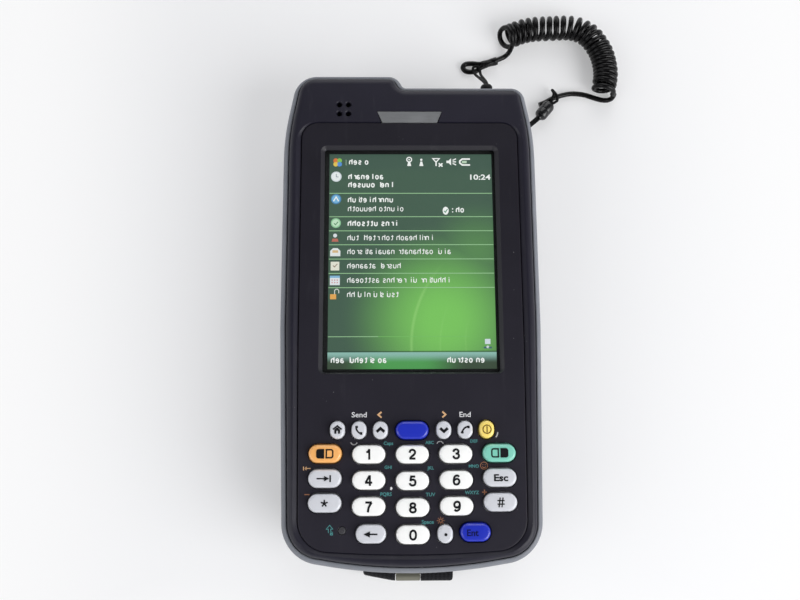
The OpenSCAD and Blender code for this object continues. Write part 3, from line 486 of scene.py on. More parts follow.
MAKERS = {
    "frame": lambda n: moulded(tuple(settings("case").frame_colour), 0.42, 0.2, 0.01, 0.5,
                               0.2, gloss=0.28, name=n),
    "panel": lambda n: moulded(tuple(settings("case").panel_colour), 0.38, 0.26, 0.005, 0.9,
                               0.1, gloss=0.2, paler_below=0.04, name=n),
    "webbing": webbing, "sheath": sheath, "twine": twine, "glass": clear_glass,
    "picture": lit_picture, "marks": lit_marks, "board": board, "floor": floor_paper,
    **by_setting(rubber, "case", {"bumper": "rubber_colour"}),
    **by_setting(keycap, "keypad", {"key_" + tone: tone for tone in (
        "white", "grey", "blue", "orange", "green", "yellow")}),
    **by_setting(ink, "keypad", {"ink_teal": "teal_ink", "ink_orange": "orange_ink"}),
    **by_name(moulded, {
        "recess": ((0.011, 0.01, 0.015), 0.5, 0.3, 0.006, 0.2, 0.2),
        "inside": ((0.006, 0.006, 0.007), 0.6, 0.4, 0.01, 0.1, 0.1),
        "latch": ((0.05, 0.05, 0.058), 0.45),
        "stylus": ((0.012, 0.012, 0.014), 0.38, 0.3, 0.006, 0.3, 0.6),
        "barrel": ((0.005, 0.005, 0.006), 0.25, 0.5, 0.004, 0.2, 0.5, 0.25),
        "anchor": ((0.004, 0.004, 0.005), 0.45, 0.4, 0.006, 0.1, 0.3, 0.0, 0.2)}),
    **by_name(rubber, {"button": ((0.018, 0.018, 0.021),), "foot": ((0.012, 0.012, 0.013),),
                       "membrane": ((0.5, 0.51, 0.52),), "lamp": ((0.026, 0.025, 0.03),)}),
    **by_name(ink, {"ink_black": ((0.008, 0.008, 0.01),), "ink_white": ((0.72, 0.72, 0.74),),
                    "ink_grey": ((0.42, 0.42, 0.43),), "ink_brown": ((0.13, 0.07, 0.012),),
                    "ink_sand": ((0.66, 0.4, 0.21),), "ink_navy": ((0.004, 0.005, 0.06),)}),
    **by_name(thread, {"thread": ((0.03, 0.03, 0.033),)}),
    **by_name(metal, {
        "hook_metal": ((0.22, 0.215, 0.17), 0.3),
        "bright_steel": ((0.85, 0.85, 0.85), 0.14, (8, 8, 8)),
        "steel": ((0.5, 0.5, 0.52), 0.3, (8, 8, 8)),
        "dark_steel": ((0.16, 0.16, 0.17), 0.34, (8, 8, 8)),
        "gold": ((0.85, 0.6, 0.22), 0.25, (6, 30, 6)),
        "aluminium": ((0.6, 0.6, 0.62), 0.4, (3, 30, 3))}),
    **by_name(tinted_window, {
        "window": ((0.165, 0.17, 0.175), 0.3, (0.25, 8, 1)),
        "red_window": ((0.09, 0.004, 0.008), 0.08, (0.3, 1, 6))}),
}


# ---- Shapes, in millimetres ----

def arc(cx, cy, r, a0, a1, n):
    a = np.radians(np.linspace(a0, a1, n + 1))
    return np.column_stack([cx + r * np.cos(a), cy + r * np.sin(a)])


def corner(cx, cy, r, a0, a1, inset, n):
    """A convex corner moved inwards, which never gets sharper than 0.5."""
    inner = max(r - inset, 0.5)
    shift = (inner - r + inset) / cos(radians(a1 - a0) / 2)
    m = radians((a0 + a1) / 2)
    return arc(cx - shift * cos(m), cy - shift * sin(m), inner, a0, a1, n)


def shoulder_x(y, r):
    a = radians(SHOULDER_A)
    return HALF_W - SIDE_R + (SIDE_R - r - (y - SHOULDER_Y) * sin(a)) / cos(a)


def case_outline(inset):
    """The case's outline moved inwards, in the same number of points for every inset."""
    low_r, top_r, hump_r, s = 12.4, 4.9, 8, SIDE_R - inset
    low_x, low_y = HALF_W - TAPER - low_r, BOTTOM_Y + low_r + 2.5
    right_y, left_y = TOP_Y - HUMP_H - top_r, TOP_Y - hump_r
    a, turns_r = radians(HUMP_STEP_A), HUMP_STEP_R + HUMP_END_R
    step_x = HUMP_EDGE_X - turns_r * sin(a) \
        - (HUMP_H - turns_r * (1 - cos(a))) / tan(a)
    return np.vstack([arc(0, BOTTOM_Y + BOW_R, BOW_R - inset, -90 - BOW_A, -90 + BOW_A, 24),
        corner(low_x, low_y, low_r, BOW_A - 90, -TAPER_A, inset, 26),
        arc(HALF_W - SIDE_R, WAIST_Y, s, -TAPER_A, 0, 3), arc(HALF_W - SIDE_R, SHOULDER_Y, s, 0,
        SHOULDER_A, 10), corner(shoulder_x(right_y, top_r), right_y, top_r, SHOULDER_A, 90, inset, 18),
        arc(HUMP_EDGE_X, TOP_Y - HUMP_H + HUMP_STEP_R, HUMP_STEP_R + inset, -90, -90 - HUMP_STEP_A, 9),
        corner(step_x, TOP_Y - HUMP_END_R, HUMP_END_R, 90 - HUMP_STEP_A, 90, inset, 14),
        corner(-shoulder_x(left_y, hump_r), left_y, hump_r, 90, 180 - SHOULDER_A, inset, 22),
        arc(SIDE_R - HALF_W, SHOULDER_Y, s, 180 - SHOULDER_A, 180, 10),
        arc(SIDE_R - HALF_W, WAIST_Y, s, 180, 180 + TAPER_A, 3),
        corner(-low_x, low_y, low_r, 180 + TAPER_A, 270 - BOW_A, inset, 26)])


def panel_outline(grow):
    bow, a, low_r, top_r, x = 350, 4.16, 9, 5.1, PANEL_HALF
    low_x, low_y = x - 0.65 - low_r, PANEL_BOTTOM_Y + low_r + 0.9
    return np.vstack([arc(0, PANEL_BOTTOM_Y + bow, bow + grow, -90 - a, -90 + a, 16),
        arc(low_x, low_y, low_r + grow, a - 90, -0.75, 22), [[x + grow, WAIST_Y - 8]],
        arc(x - top_r, PANEL_TOP_Y - top_r, top_r + grow, 0, 90, 16),
        arc(top_r - x, PANEL_TOP_Y - top_r, top_r + grow, 90, 180, 16), [[-x - grow, WAIST_Y - 8]],
        arc(-low_x, low_y, low_r + grow, 180.75, 270 - a, 22)])


def rounded(w, l, r, cx=0.0, cy=0.0, n=8):
    """A rectangle with round corners, counter-clockwise."""
    return np.vstack([arc(cx + sx * (w / 2 - r), cy + sy * (l / 2 - r), r, a, a + 90, n) for sx, sy,
        a in ((1, 1, 0), (-1, 1, 90), (-1, -1, 180), (1, -1, 270))])


def smooth(points, steps):
    """Smooth points through a route, with steps on each stretch."""
    p = np.asarray(points, float)
    out = []
    for i in range(len(p) - 1):
        a, b, c, d = p[max(i - 1, 0)], p[i], p[i + 1], p[min(i + 2, len(p) - 1)]
        for t in np.arange(steps) / steps:
            out.append(b + (c - a) * t / 2 + (2 * a - 5 * b + 4 * c - d) * t * t / 2
                + (3 * b - a - 3 * c + d) * t ** 3 / 2)
    return np.array(out + [p[-1]])


def travelled(path):
    return np.concatenate([[0], np.cumsum(np.linalg.norm(np.diff(path, axis=0), axis=1))])


def normed(rows):
    return rows / np.linalg.norm(rows, axis=1)[:, None]


def evenly(path, count):
    """The same path in a given number of evenly spaced points."""
    s = travelled(path)
    t = np.linspace(0, s[-1], count)
    return np.column_stack([np.interp(t, s, path[:, k]) for k in range(3)])


def swept(line, x, section):
    """Rings of a section in X and thickness, carried along a line in Y and Z."""
    d = normed(np.gradient(line, axis=0))
    up = np.column_stack([np.zeros(len(d)), -d[:, 2], d[:, 1]])
    flat = np.column_stack([x + section[:, 0], np.zeros((len(section), 2))])
    return [flat + p + np.outer(section[:, 1], n) for p, n in zip(line, up)]


class Shape:
    """Points and faces, gathered from simple closed forms and made one mesh."""

    def __init__(self):
        self.points, self.faces, self.slots, self.tints = [], [], [], []
        self.maps = {}

    def add(self, points, faces, slot=0, tint=(1, 1, 1), turn=None, at=(0, 0, 0)):
        points = np.asarray(points, float)
        if turn is not None:
            points = points @ np.array(turn).T
        start = len(self.points)
        self.points.extend(map(tuple, points + np.asarray(at, float)))
        self.faces.extend(tuple(start + i for i in f) for f in faces)
        self.slots.extend([slot] * len(faces))
        self.tints.extend([tint] * len(faces))
        return self

    def loft(self, rings, looped=False, **more):
        """A closed skin over rings of points; looped joins the last ring to the first."""
        n, m = len(rings[0]), len(rings)
        faces = [(k * n + i, k * n + (i + 1) % n, (k + 1) % m * n + (i + 1) % n, (k + 1) % m * n + i)
            for k in range(m if looped else m - 1) for i in range(n)]
        if not looped:
            faces += [tuple(range(n - 1, -1, -1)), tuple((m - 1) * n + i for i in range(n))]
        return self.add(np.vstack(rings), faces, **more)

    def layers(self, outline, levels, looped=False, **more):
        """A loft of an outline function through (inset, height) levels."""
        return self.loft([np.column_stack([ring, np.full(len(ring), z)])
            for ring, z in ((outline(i), z) for i, z in levels)], looped, **more)

    def prism(self, outline, z0, z1, bevel=0.0, **more):
        """A plate of an outline about its own middle, with bevelled rims."""
        ring = np.asarray(outline, float)
        if not bevel:
            return self.layers(lambda i: ring, [(0, z0), (0, z1)], **more)
        before, after = ring - np.roll(ring, 1, 0), np.roll(ring, -1, 0) - ring
        t = normed(normed(before) + normed(after))
        inward = np.column_stack([-t[:, 1], t[:, 0]])
        return self.layers(lambda i: ring + inward * i, [(bevel, z0), (bevel * 0.3, z0 + bevel * 0.3),
            (0, z0 + bevel), (0, z1 - bevel), (bevel * 0.3, z1 - bevel * 0.3), (bevel, z1)], **more)

    def box(self, low, high, bevel=0.0, **more):
        (x0, y0, z0), (x1, y1, z1) = low, high
        return self.prism([(x0, y0), (x1, y0), (x1, y1), (x0, y1)], z0, z1, bevel, **more)

    def turned(self, profile, at=(0, 0, 0), axis=(0, 0, 1), sides=32, **more):
        """A solid turned about an axis from (radius, height) pairs, lowest first."""
        a = np.arange(sides) * tau / sides
        rings = [np.column_stack([r * np.cos(a), r * np.sin(a), np.full(sides, z)]) for r, z in profile]
        turn = Vector(axis).to_track_quat("Z", "Y").to_matrix()
        return self.loft(rings, turn=turn, at=at, **more)

    def tube(self, path, radius, sides=12, squash=1.0, **more):
        """A capped tube along a path, with a map along and round it."""
        path = np.asarray(path, float)
        t = normed(np.gradient(path, axis=0))
        side = np.cross(t[0], (0, 0, 1) if abs(t[0][2]) < 0.9 else (1, 0, 0))
        radii = np.broadcast_to(radius, len(path))
        a = np.arange(sides) * tau / sides
        rings, s = [], travelled(path)
        for p, d, r in zip(path, t, radii):
            side = side - d * (side @ d)
            side /= np.linalg.norm(side)
            up = np.cross(side, d)
            rings.append(p + r * (np.outer(np.cos(a), side) + squash * np.outer(np.sin(a), up)))
        start = len(self.points)
        flipped = np.cross(side, up) @ t[-1] > 0
        self.loft(rings[::-1] if flipped else rings, **more)
        for k in range(len(path)):
            along = s[len(path) - 1 - k] if flipped else s[k]
            for i in range(sides):
                self.maps[start + k * sides + i] = (along, i * tau / sides * radii[k])
        return self

    def stroke(self, points, width, z0, z1, closed=False, **more):
        """A flat ribbon along a line, such as a printed mark."""
        p = np.asarray(points, float)
        if closed:
            before, after = p - np.roll(p, 1, 0), np.roll(p, -1, 0) - p
        else:
            d = np.diff(p, axis=0)
            before, after = np.vstack([d[:1], d]), np.vstack([d, d[-1:]])
        after = normed(after)
        t = normed(normed(before) + after)
        n = np.column_stack([-t[:, 1], t[:, 0]])
        reach = width / 2 / np.clip((t * after).sum(1), 0.5, 1)
        left, right = p + n * reach[:, None], p - n * reach[:, None]
        m = len(p)
        layers = [np.column_stack([ring, np.full(m, z)]) for z in (z0, z1) for ring in (left, right)]
        faces = []
        for i in range(m if closed else m - 1):
            j = (i + 1) % m
            faces += [(2 * m + i, 3 * m + i, 3 * m + j, 2 * m + j), (i, j, m + j, m + i),
                (i, 2 * m + i, 2 * m + j, j), (m + j, 3 * m + j, 3 * m + i, m + i)]
        if not closed:
            faces += [(0, m, 3 * m, 2 * m), (2 * m - 1, m - 1, 3 * m - 1, 4 * m - 1)]
        return self.add(np.vstack(layers), faces, **more)

    def letters(self, text, height, at, z0, z1, bold, wide=1.0, **more):
        """Flat printed letters of a cap height, set about a point."""
        points, faces = glyphs(text, bold)
        points = points * (height / CAP_HEIGHT * wide, height / CAP_HEIGHT, 1)
        left, right = points[:, 0].min(), points[:, 0].max()
        points[:, 0] -= (left + right) / 2
        points[:, 2] = np.where(points[:, 2] > 0, z1, z0)
        return self.add(points, faces, at=(at[0], at[1] - height / 2, 0), **more)

    def make(self, name, finishes, bend=None):
        """The mesh object, in metres, with its finishes, tints and map."""
        points = np.array(self.points)
        if bend is not None:
            points = bend(points)
        mesh = bpy.data.meshes.new(name)
        mesh.from_pydata([tuple(p) for p in points * MM], [], self.faces)
        for f in finishes:
            mesh.materials.append(finish(f) if isinstance(f, str) else f)
        mesh.polygons.foreach_set("material_index", self.slots)
        if len(set(self.tints)) > 1:
            tint = mesh.color_attributes.new("tint", "FLOAT_COLOR", "CORNER")
            loops = [(*self.tints[p.index], 1) for p in mesh.polygons for _ in p.loop_indices]
            tint.data.foreach_set("color", np.array(loops, np.float32).ravel())
        if self.maps:
            layer = mesh.uv_layers.new(name="UVMap")
            for loop in mesh.loops:
                layer.data[loop.index].uv = self.maps.get(loop.vertex_index, (0, 0))
        mesh.update()
        return placed(name, mesh)

    def piece(self, name, finishes, body, slot, *nodes, angle=32):
        """A finished piece of this shape alone."""
        return wear(self.make(name, finishes), body, slot, *nodes, angle=angle)


CAP_HEIGHT = 0.729
GLYPHS = {}


def glyphs(text, bold):
    """Points and faces of flat letters with a small thickness, from the built-in font."""
    key = (text, bold)
    if key not in GLYPHS:
        curve = bpy.data.curves.new("glyphs", "FONT")
        curve.body, curve.size, curve.extrude, curve.offset = text, 1.0, 0.01, bold
        curve.resolution_u = 3
        obj = placed("glyphs", curve)
        bpy.context.view_layer.update()
        mesh = bpy.data.meshes.new_from_object(obj.evaluated_get(bpy.context.evaluated_depsgraph_get()))
        points = np.array([v.co for v in mesh.vertices])
        GLYPHS[key] = points, [tuple(p.vertices) for p in mesh.polygons]
        bpy.data.objects.remove(obj)
        bpy.data.curves.remove(curve)
        bpy.data.meshes.remove(mesh)
    points, faces = GLYPHS[key]
    return points.copy(), faces


# ---- Finishing a piece ----

def baked(obj):
    """Turns an object's modifiers into plain mesh."""
    bpy.context.view_layer.update()
    mesh = bpy.data.meshes.new_from_object(obj.evaluated_get(bpy.context.evaluated_depsgraph_get()))
    old = obj.data
    obj.modifiers.clear()
    obj.data = mesh
    mesh.name = old.name
    if old.users == 0:
        bpy.data.meshes.remove(old)
    return obj


def carve(obj, *shapes):
    """Cuts closed shapes out of an object."""
    cutters = []
    for shape in shapes:
        cutter = shape.make("cutter", [])
        cutters.append(cutter)
        step = obj.modifiers.new("carve", "BOOLEAN")
        step.operation, step.solver, step.object = "DIFFERENCE", "EXACT", cutter
    baked(obj)
    for cutter in cutters:
        bpy.data.objects.remove(cutter)
    return obj


def soften(obj, radius_mm):
    """Rounds the sharp edges of an object."""
    step = obj.modifiers.new("soften", "BEVEL")
    step.width, step.segments, step.limit_method = radius_mm * MM, 2, "ANGLE"
    step.angle_limit = radians(32)
    step.use_clamp_overlap = True
    return baked(obj)


def shade(obj, angle=32):
    """Smooth shading that keeps flat faces flat and the edges sharper than an angle."""
    obj.data.shade_smooth()
    obj.data.set_sharp_from_angle(angle=radians(angle))
    step = obj.modifiers.new("flats", "WEIGHTED_NORMAL")
    step.keep_sharp, step.weight = True, 80
    return baked(obj)


def wear(obj, body, slot, *nodes, angle=32):
    """Ends a piece: its shading, its body and the frame nodes that it stands for; the slot is not used."""
    shade(obj, angle)
    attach(obj, body)
    if nodes:
        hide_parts(*nodes)
    return obj


def face_out(obj):
    """Turns the faces of a closed mesh outwards."""
    b = bmesh.new()
    # Bakes a strap piece's placement into its mesh; the bend off the battery pack is looked up, not applied.
    b.from_mesh(obj.data)
    bmesh.ops.recalc_face_normals(b, faces=b.faces)
    b.to_mesh(obj.data)
    b.free()


def paint(node, name):
    """Gives a frame node that stays in view a material."""
    mesh = frame["nodes"][node].data
    mesh.materials.clear()
    mesh.materials.append(finish(name))


def from_node(node, name, finish_name, bevel=0.15):
    """A piece with the shape of a frame node, with rounded edges."""
    mesh = frame["nodes"][node].data.copy()
    obj = placed(name, mesh)
    b = bmesh.new()
    b.from_mesh(mesh)
    bmesh.ops.remove_doubles(b, verts=b.verts, dist=1e-6)
    bmesh.ops.dissolve_limit(b, angle_limit=radians(1), verts=b.verts, edges=b.edges)
    b.to_mesh(mesh)
    b.free()
    mesh.materials.clear()
    mesh.materials.append(finish(finish_name))
    for polygon in mesh.polygons:
        polygon.material_index = 0
    return soften(obj, bevel) if bevel else obj


def set_inputs(obj, tree, values):
    """A Geometry Nodes modifier with its inputs set by their identifiers."""
    step = obj.modifiers.new(tree.name, "NODES")
    step.node_group = tree
    for item in tree.interface.items_tree:
        if item.item_type == "SOCKET" and item.in_out == "INPUT" and item.name in values:
            step[item.identifier] = values[item.name]
    return baked(obj)


def copier(name, inputs, nodes, links):
    """Geometry Nodes, made once, that copy a form, realize the copies and cover them."""
    if name in bpy.data.node_groups:
        return bpy.data.node_groups[name]
    tree = bpy.data.node_groups.new(name, "GeometryNodeTree")
    tree.interface.new_socket("Geometry", in_out="OUTPUT", socket_type="NodeSocketGeometry")
    for socket, kind in (("Geometry", "Geometry"), *inputs, ("Material", "Material")):
        tree.interface.new_socket(socket, in_out="INPUT", socket_type="NodeSocket" + kind)
    made = {}
    for key, kind, choices in (*nodes, ("given", "NodeGroupInput", {}),
            ("copy", "GeometryNodeInstanceOnPoints", {}), ("real", "GeometryNodeRealizeInstances", {}),
            ("cover", "GeometryNodeSetMaterial", {}), ("out", "NodeGroupOutput", {})):
        made[key] = tree.nodes.new(kind)
        for choice, value in choices.items():
            if hasattr(made[key], choice):
                setattr(made[key], choice, value)
            else:
                made[key].inputs[choice].default_value = value
    for link in (*links, "copy.Instances > real.Geometry", "real.Geometry > cover.Geometry",
            "given.Material > cover.Material", "cover.Geometry > out.Geometry"):
        (source, output), (target, entry) = (end.split(".") for end in link.split(" > "))
        tree.links.new(made[source].outputs[output], made[target].inputs[entry])
    return tree


def copies_tree():
    """A copy of a unit at each point, turned as the point's turn says."""
    return copier("Copies on points", (("Unit", "Object"), ("Size", "Float")),
        (("info", "GeometryNodeObjectInfo", {}), ("turn", "GeometryNodeInputNamedAttribute",
        {"data_type": "FLOAT_VECTOR", "Name": "turn"})), ("given.Geometry > copy.Points",
        "given.Unit > info.Object", "info.Geometry > copy.Instance", "turn.Attribute > copy.Rotation",
        "given.Size > copy.Scale"))


def row_tree():
    """A straight row of copies of a unit, with a count and a step."""
    return copier("Row of copies", (("Count", "Int"), ("Start", "Vector"), ("Step", "Vector")),
        (("line", "GeometryNodeMeshLine", {"mode": "OFFSET", "count_mode": "TOTAL"}),),
        ("given.Count > line.Count", "given.Start > line.Start Location", "given.Step > line.Offset",
        "line.Mesh > copy.Points", "given.Geometry > copy.Instance"))


def copies(name, unit, points, turns, finish_name):
    """One mesh of copies of a unit shape, at points in millimetres with turns in radians."""
    mesh = bpy.data.meshes.new(name)
    mesh.from_pydata([tuple(p) for p in np.asarray(points, float) * MM], [], [])
    turn = mesh.attributes.new("turn", "FLOAT_VECTOR", "POINT")
    turn.data.foreach_set("vector", np.asarray(turns, np.float32).ravel())
    obj = placed(name, mesh)
    form = unit.make("unit", [])
    set_inputs(obj, copies_tree(), {"Unit": form, "Size": 1.0, "Material": finish(finish_name)})
    bpy.data.objects.remove(form)
    return obj


def row(name, unit, start, step, count, finish_name):
    """One mesh of a straight row of copies of a unit shape."""
    obj = unit.make(name, [])
    return set_inputs(obj, row_tree(), {"Count": count, "Start": tuple(c * MM for c in start),
        "Step": tuple(c * MM for c in step), "Material": finish(finish_name)})


# ---- The tether ----

STYLUS_X, STYLUS_TOP_Y, STYLUS_Z = middle("stylus")[0], ends("stylus")[1][1], middle("stylus")[2]
BARREL = middle("tether_barrel")
BARREL_AXIS = np.array([cos(radians(50)), sin(radians(50)), 0])
HEAD = [[32.9, 98.7, 2.3], [29.9, 97.8, 2.2], [27.4, 96.7, 1.6], [25.3, 95.4, 0.9], [23.2, 95, 0.8],
    [21.4, 95.4, 0.8], [20.5, 96.7, 0.8], [21.4, 98, 0.8], [23.8, 98.3, 0.8], [26.8, 98.1, 0.8],
    [29.8, 98.6, 0.8], [32.7, 99.6, 0.8], [35.6, 100.9, 1], [37.3, 102.1, 2.3]]
COIL = [[38.2, 107.6, 4.5], [42, 109.1, 4.5], [46.5, 110, 4.5], [52, 110.3, 4.5], [57.5, 110.6, 4.5],
    [61, 110.3, 4.5], [63.9, 109.2, 4.5], [66.6, 107.3, 4.5], [68.7, 104.3, 4.5], [70.5, 100.6, 4.5],
    [71.4, 96.4, 4.5], [71.6, 92.2, 4.5], [70.9, 88.2, 4.5]]
TAIL = [[74.8, 85.6, 2.6], [74.1, 84.6, 1.4], [72.4, 84.1, 0.9], [70.2, 84.3, 0.8], [67.6, 85.1, 0.8],
    [64.2, 86.2, 0.8], [60, 86.6, 0.8], [56.4, 86, 0.8], [52.9, 84.8, 0.8], [50.2, 83.3, 0.8],
    [47.9, 82.3, 0.8]]
STRING = [[26.1, 79.3, 21], [26, 82, 19.4], [25.3, 87.8, 11], [24.7, 92, 4.8], [24.2, 94.4, 2.3],
    [24.1, 96, 2], [24.7, 96.8, 1.7], [25.5, 96.7, 1.9], [26.1, 96.2, 2.5], [26.5, 94.6, 2.4],
    [26.5, 92, 5], [26.4, 87.8, 11.4], [26.6, 82, 19.6], [26.7, 79.3, 21]]
LINK = [[STYLUS_X + 2.2, STYLUS_TOP_Y - 1.4, STYLUS_Z], [35.6, 69.4, 8.6], [38, 70.2, 7.2],
    [41.6, 71.8, 4.6], [44.6, 74.4, 2.8], [47, 76.6, 2.3]]


COIL_START, COIL_END, FIRST_TURN_OPEN, SPARE = 170, -10, 6.4, 3.0
COIL_RUN = ((-0.47, -1.3), (0, -0.7), (1, 0.5), (2, 2.4), (5, 9.2), (7, 14.4), (12, 27), (16, 35.4),
    (24, 49.6), (24.5, 51.4), (25.1, 52.6))


def coil_path(diameter, cord, turns):
    """The cord's turns round the coil's own line, spaced by a table; the first leans open."""
    line = np.array(COIL)
    first, last = line[0] - line[1], line[-1] - line[-2]
    line = smooth(np.vstack([line[0] + first / np.linalg.norm(first) * SPARE, line,
        line[-1] + last / np.linalg.norm(last) * SPARE]), 24)
    angle = np.linspace(0, (turns - 1 + (COIL_START - COIL_END) / 360) * tau, turns * 24)
    number = (angle / tau - COIL_START / 360) * 25 / (turns - 1)
    run = np.interp(number, *np.transpose(COIL_RUN)) + SPARE
    centre = np.column_stack([np.interp(run, travelled(line), line[:, k]) for k in range(3)])
    t = normed(np.gradient(centre, axis=0))
    side = np.cross((0, 0, 1), t)
    around = radians(COIL_START) - angle
    lean = FIRST_TURN_OPEN * np.exp(-angle / (0.9 * tau)) * (1 - np.sin(around)) / 2
    lean *= np.clip(angle / pi, 0, 1)
    return centre - lean[:, None] * t + (diameter - cord) / 2 * (np.cos(around)[:, None] * side
        + np.sin(around)[:, None] * (0, 0, 1))


def cord_path(s):
    """The whole cord, from its cut end past the eye through the coil to its tip at the barrel."""
    coil = coil_path(s.coil_diameter / MM, s.cord_diameter / MM, s.turns)
    into = smooth(HEAD + [coil[0], coil[2]], 8)[:-8]
    away = smooth([coil[-3], coil[-1]] + TAIL, 8)[8:]
    path = np.vstack([into[:-1], coil, away[1:]])
    path[:, 2] = np.maximum(path[:, 2], s.cord_diameter / MM / 2 + 0.05)
    return path


# ---- Operators ----

class Maker:
    """Common ground of the operators that make pieces."""
    bl_options = {"REGISTER", "UNDO"}

    def execute(self, context):
        self.build()
        return {"FINISHED"}


class TERMINAL_OT_camera(Maker, bpy.types.Operator):
    """Set up the camera above the terminal"""
    bl_idname = "terminal.camera"
    bl_label = "Camera"

    def build(self):
        data = bpy.data.cameras.new("camera")
        data.lens, data.sensor_width = 37.8, 36.0
        data.clip_start, data.clip_end = 0.01, 10
        obj = placed("camera", data)
        turn = (Matrix.Rotation(radians(0.1315), 3, "Z") @ Matrix.Rotation(radians(0.959), 3,
            "Y") @ Matrix.Rotation(radians(-10.859), 3, "X")).transposed()
        obj.matrix_world = Matrix.Translation((-0.00774, -0.04405, 0.28541)) @ turn.to_4x4()
        bpy.context.scene.camera = obj
        bpy.context.scene.view_settings.view_transform = "Standard"


class TERMINAL_OT_stage(Maker, bpy.types.Operator):
    """Lay the pale floor and hang the soft lights"""
    bl_idname = "terminal.stage"
    bl_label = "Stage"

    def build(self):
        s = settings("stage")
        mesh = bpy.data.meshes.new("floor")
        r, z = 3.0, -0.00002
        mesh.from_pydata([(-r, -r, z), (r, -r, z), (r, r, z), (-r, r, z)], [], [(0, 1, 2, 3)])
        mesh.materials.append(finish("floor"))
        floor = placed("floor", mesh)
        world = Finish("sky", world=True)
        height = world.axes(world.node("TexCoord", output="Generated"))[2] / 1000
        glow = world.node("Background", inputs={"Color": (0.93, 0.95, 1.0),
            "Strength": (1 - height.most(0)) ** 2 * s.sky_light + s.sky_light * 0.09})
        bpy.context.scene.world = world.end(glow, "OutputWorld")
        for name, place, size, power in (("key light", (0.64, -0.4, 0.5), 0.8, s.key_light),
                ("left light", (-0.7, -0.3, 0.5), 0.8, s.fill_light),
                ("back light", (0.1, 0.8, 0.5), 0.8, s.fill_light)):
            lamp = bpy.data.lights.new(name, "AREA")
            lamp.size, lamp.energy, lamp.shape = size, power, "DISK"
            obj = placed(name, lamp)
            obj.location = place
            obj.rotation_euler = (-Vector(place)).to_track_quat("-Z", "Y").to_euler()


class TERMINAL_OT_tether(Maker, bpy.types.Operator):
    """Lay the coiled cord from its eye to the barrel"""
    bl_idname = "terminal.tether"
    bl_label = "Coiled tether"

    def build(self):
        s = settings("tether")
        path = cord_path(s)
        shape = Shape().tube(path, s.cord_diameter / MM / 2, 10)
        cord = shape.make("tether_cord", ["sheath"])
        shade(cord, 60)
        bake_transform(cord)
        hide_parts("tether_head", "tether_coil", "tether_tail")
        inner, outer = np.array(HEAD[1:3]), np.array(HEAD[10:8:-1])
        ends_on = (inner + outer) / 2
        ends_on = [ends_on[1], ends_on[0], (np.array(HEAD[0]) * 0.7 + np.array(HEAD[11]) * 0.3)]
        sleeve_line = smooth(ends_on, 6)
        wide = 1.35 + 0.08 * np.sin(np.linspace(0, 3 * pi, len(sleeve_line)))
        sleeve = Shape().tube(sleeve_line, wide, 20, squash=1.15)
        sleeve = sleeve.make("tether_sleeve", ["sheath"])
        wear(sleeve, CASE, "cord_black", angle=50)


class TERMINAL_OT_strings(Maker, bpy.types.Operator):
    """Thread the string loops of the anchor and of the stylus"""
    bl_idname = "terminal.strings"
    bl_label = "String loops"

    def build(self):
        d = settings("tether").string_diameter / MM
        path = smooth(STRING, 8)
        loop = Shape().tube(path, d / 2, 10).make("anchor_string", ["twine"])
        wear(loop, CASE, "cord_black", "tether_string", angle=60)
        line = smooth(LINK, 6)
        t = np.gradient(line, axis=0)
        side = normed(np.cross(t, (0, 0, 1)))
        nose = BARREL + BARREL_AXIS * 3.9
        over = [nose + (1.3, 0.1, 0.4), nose + (2.2, 0.9, 0.5), nose + (2.1, 2.3, 0.9),
            nose + (1.2, 4.0, 0.6), nose + (0.7, 5.2, -0.4), nose + (0.9, 3.2, 1.2),
            nose + (0.5, 1.6, 0.6), nose + (0.1, 0.5, 0)]
        inside = [BARREL + BARREL_AXIS * k for k in (-2.6, 2.6)]
        path = np.vstack([line + side * d * 0.42, smooth([line[-1] + side[-1] * d * 0.42, inside[0],
            inside[1], *over, inside[1] - (0.3, 0, 0), inside[0] - (0.3, 0, 0),
            line[-1] - side[-1] * d * 0.42], 8)[1:-1], (line - side * d * 0.42)[::-1]])
        path[:, 2] = np.maximum(path[:, 2], d / 2 + 0.05)
        link = Shape().tube(path, d / 2, 10).make("stylus_string", ["twine"])
        wear(link, "stylus", "cord_black", "tether_link", angle=60)


class TERMINAL_OT_barrel(Maker, bpy.types.Operator):
    """Make the barrel that clamps the string, and the anchor lug"""
    bl_idname = "terminal.barrel"
    bl_label = "Barrel and anchor"

    def build(self):
        r, h = 2.25, 3.7
        profile = [(0.3, -h), (0.9, -h), (1.1, -h + 0.1), (1.15, -h + 0.5), (1.7, -h + 0.75),
            (r - 0.1, -h + 1.3), (r, -h + 2), (r, -0.3), (r - 0.12, -0.15), (r - 0.12, 0.15), (r, 0.3),
            (r, h - 1.6), (r - 0.15, h - 0.9), (r - 0.6, h - 0.35), (1.3, h - 0.1), (0.8, h), (0.3, h)]
        barrel = Shape().turned(profile, BARREL, BARREL_AXIS, 36)
        barrel.piece("tether_barrel_shell", ["barrel"], "stylus", "stylus_black", "tether_barrel",
            angle=40)
        low, high = ends("tether_anchor")
        x, z = middle("tether_anchor")[0], middle("tether_anchor")[2]
        tip = high[1]
        knob = Shape().turned([(0.4, low[1]), (2.0, low[1]), (2.0, tip - 2.4), (2.05, tip - 2.3),
            (2.0, tip - 1.2), (1.9, tip - 0.7), (1.6, tip - 0.3), (1.1, tip - 0.05), (0.3, tip)],
            (x, 0, z), (0, 1, 0), 32)
        knob.piece("anchor_knob", ["anchor"], CASE, "stylus_black", "tether_anchor")


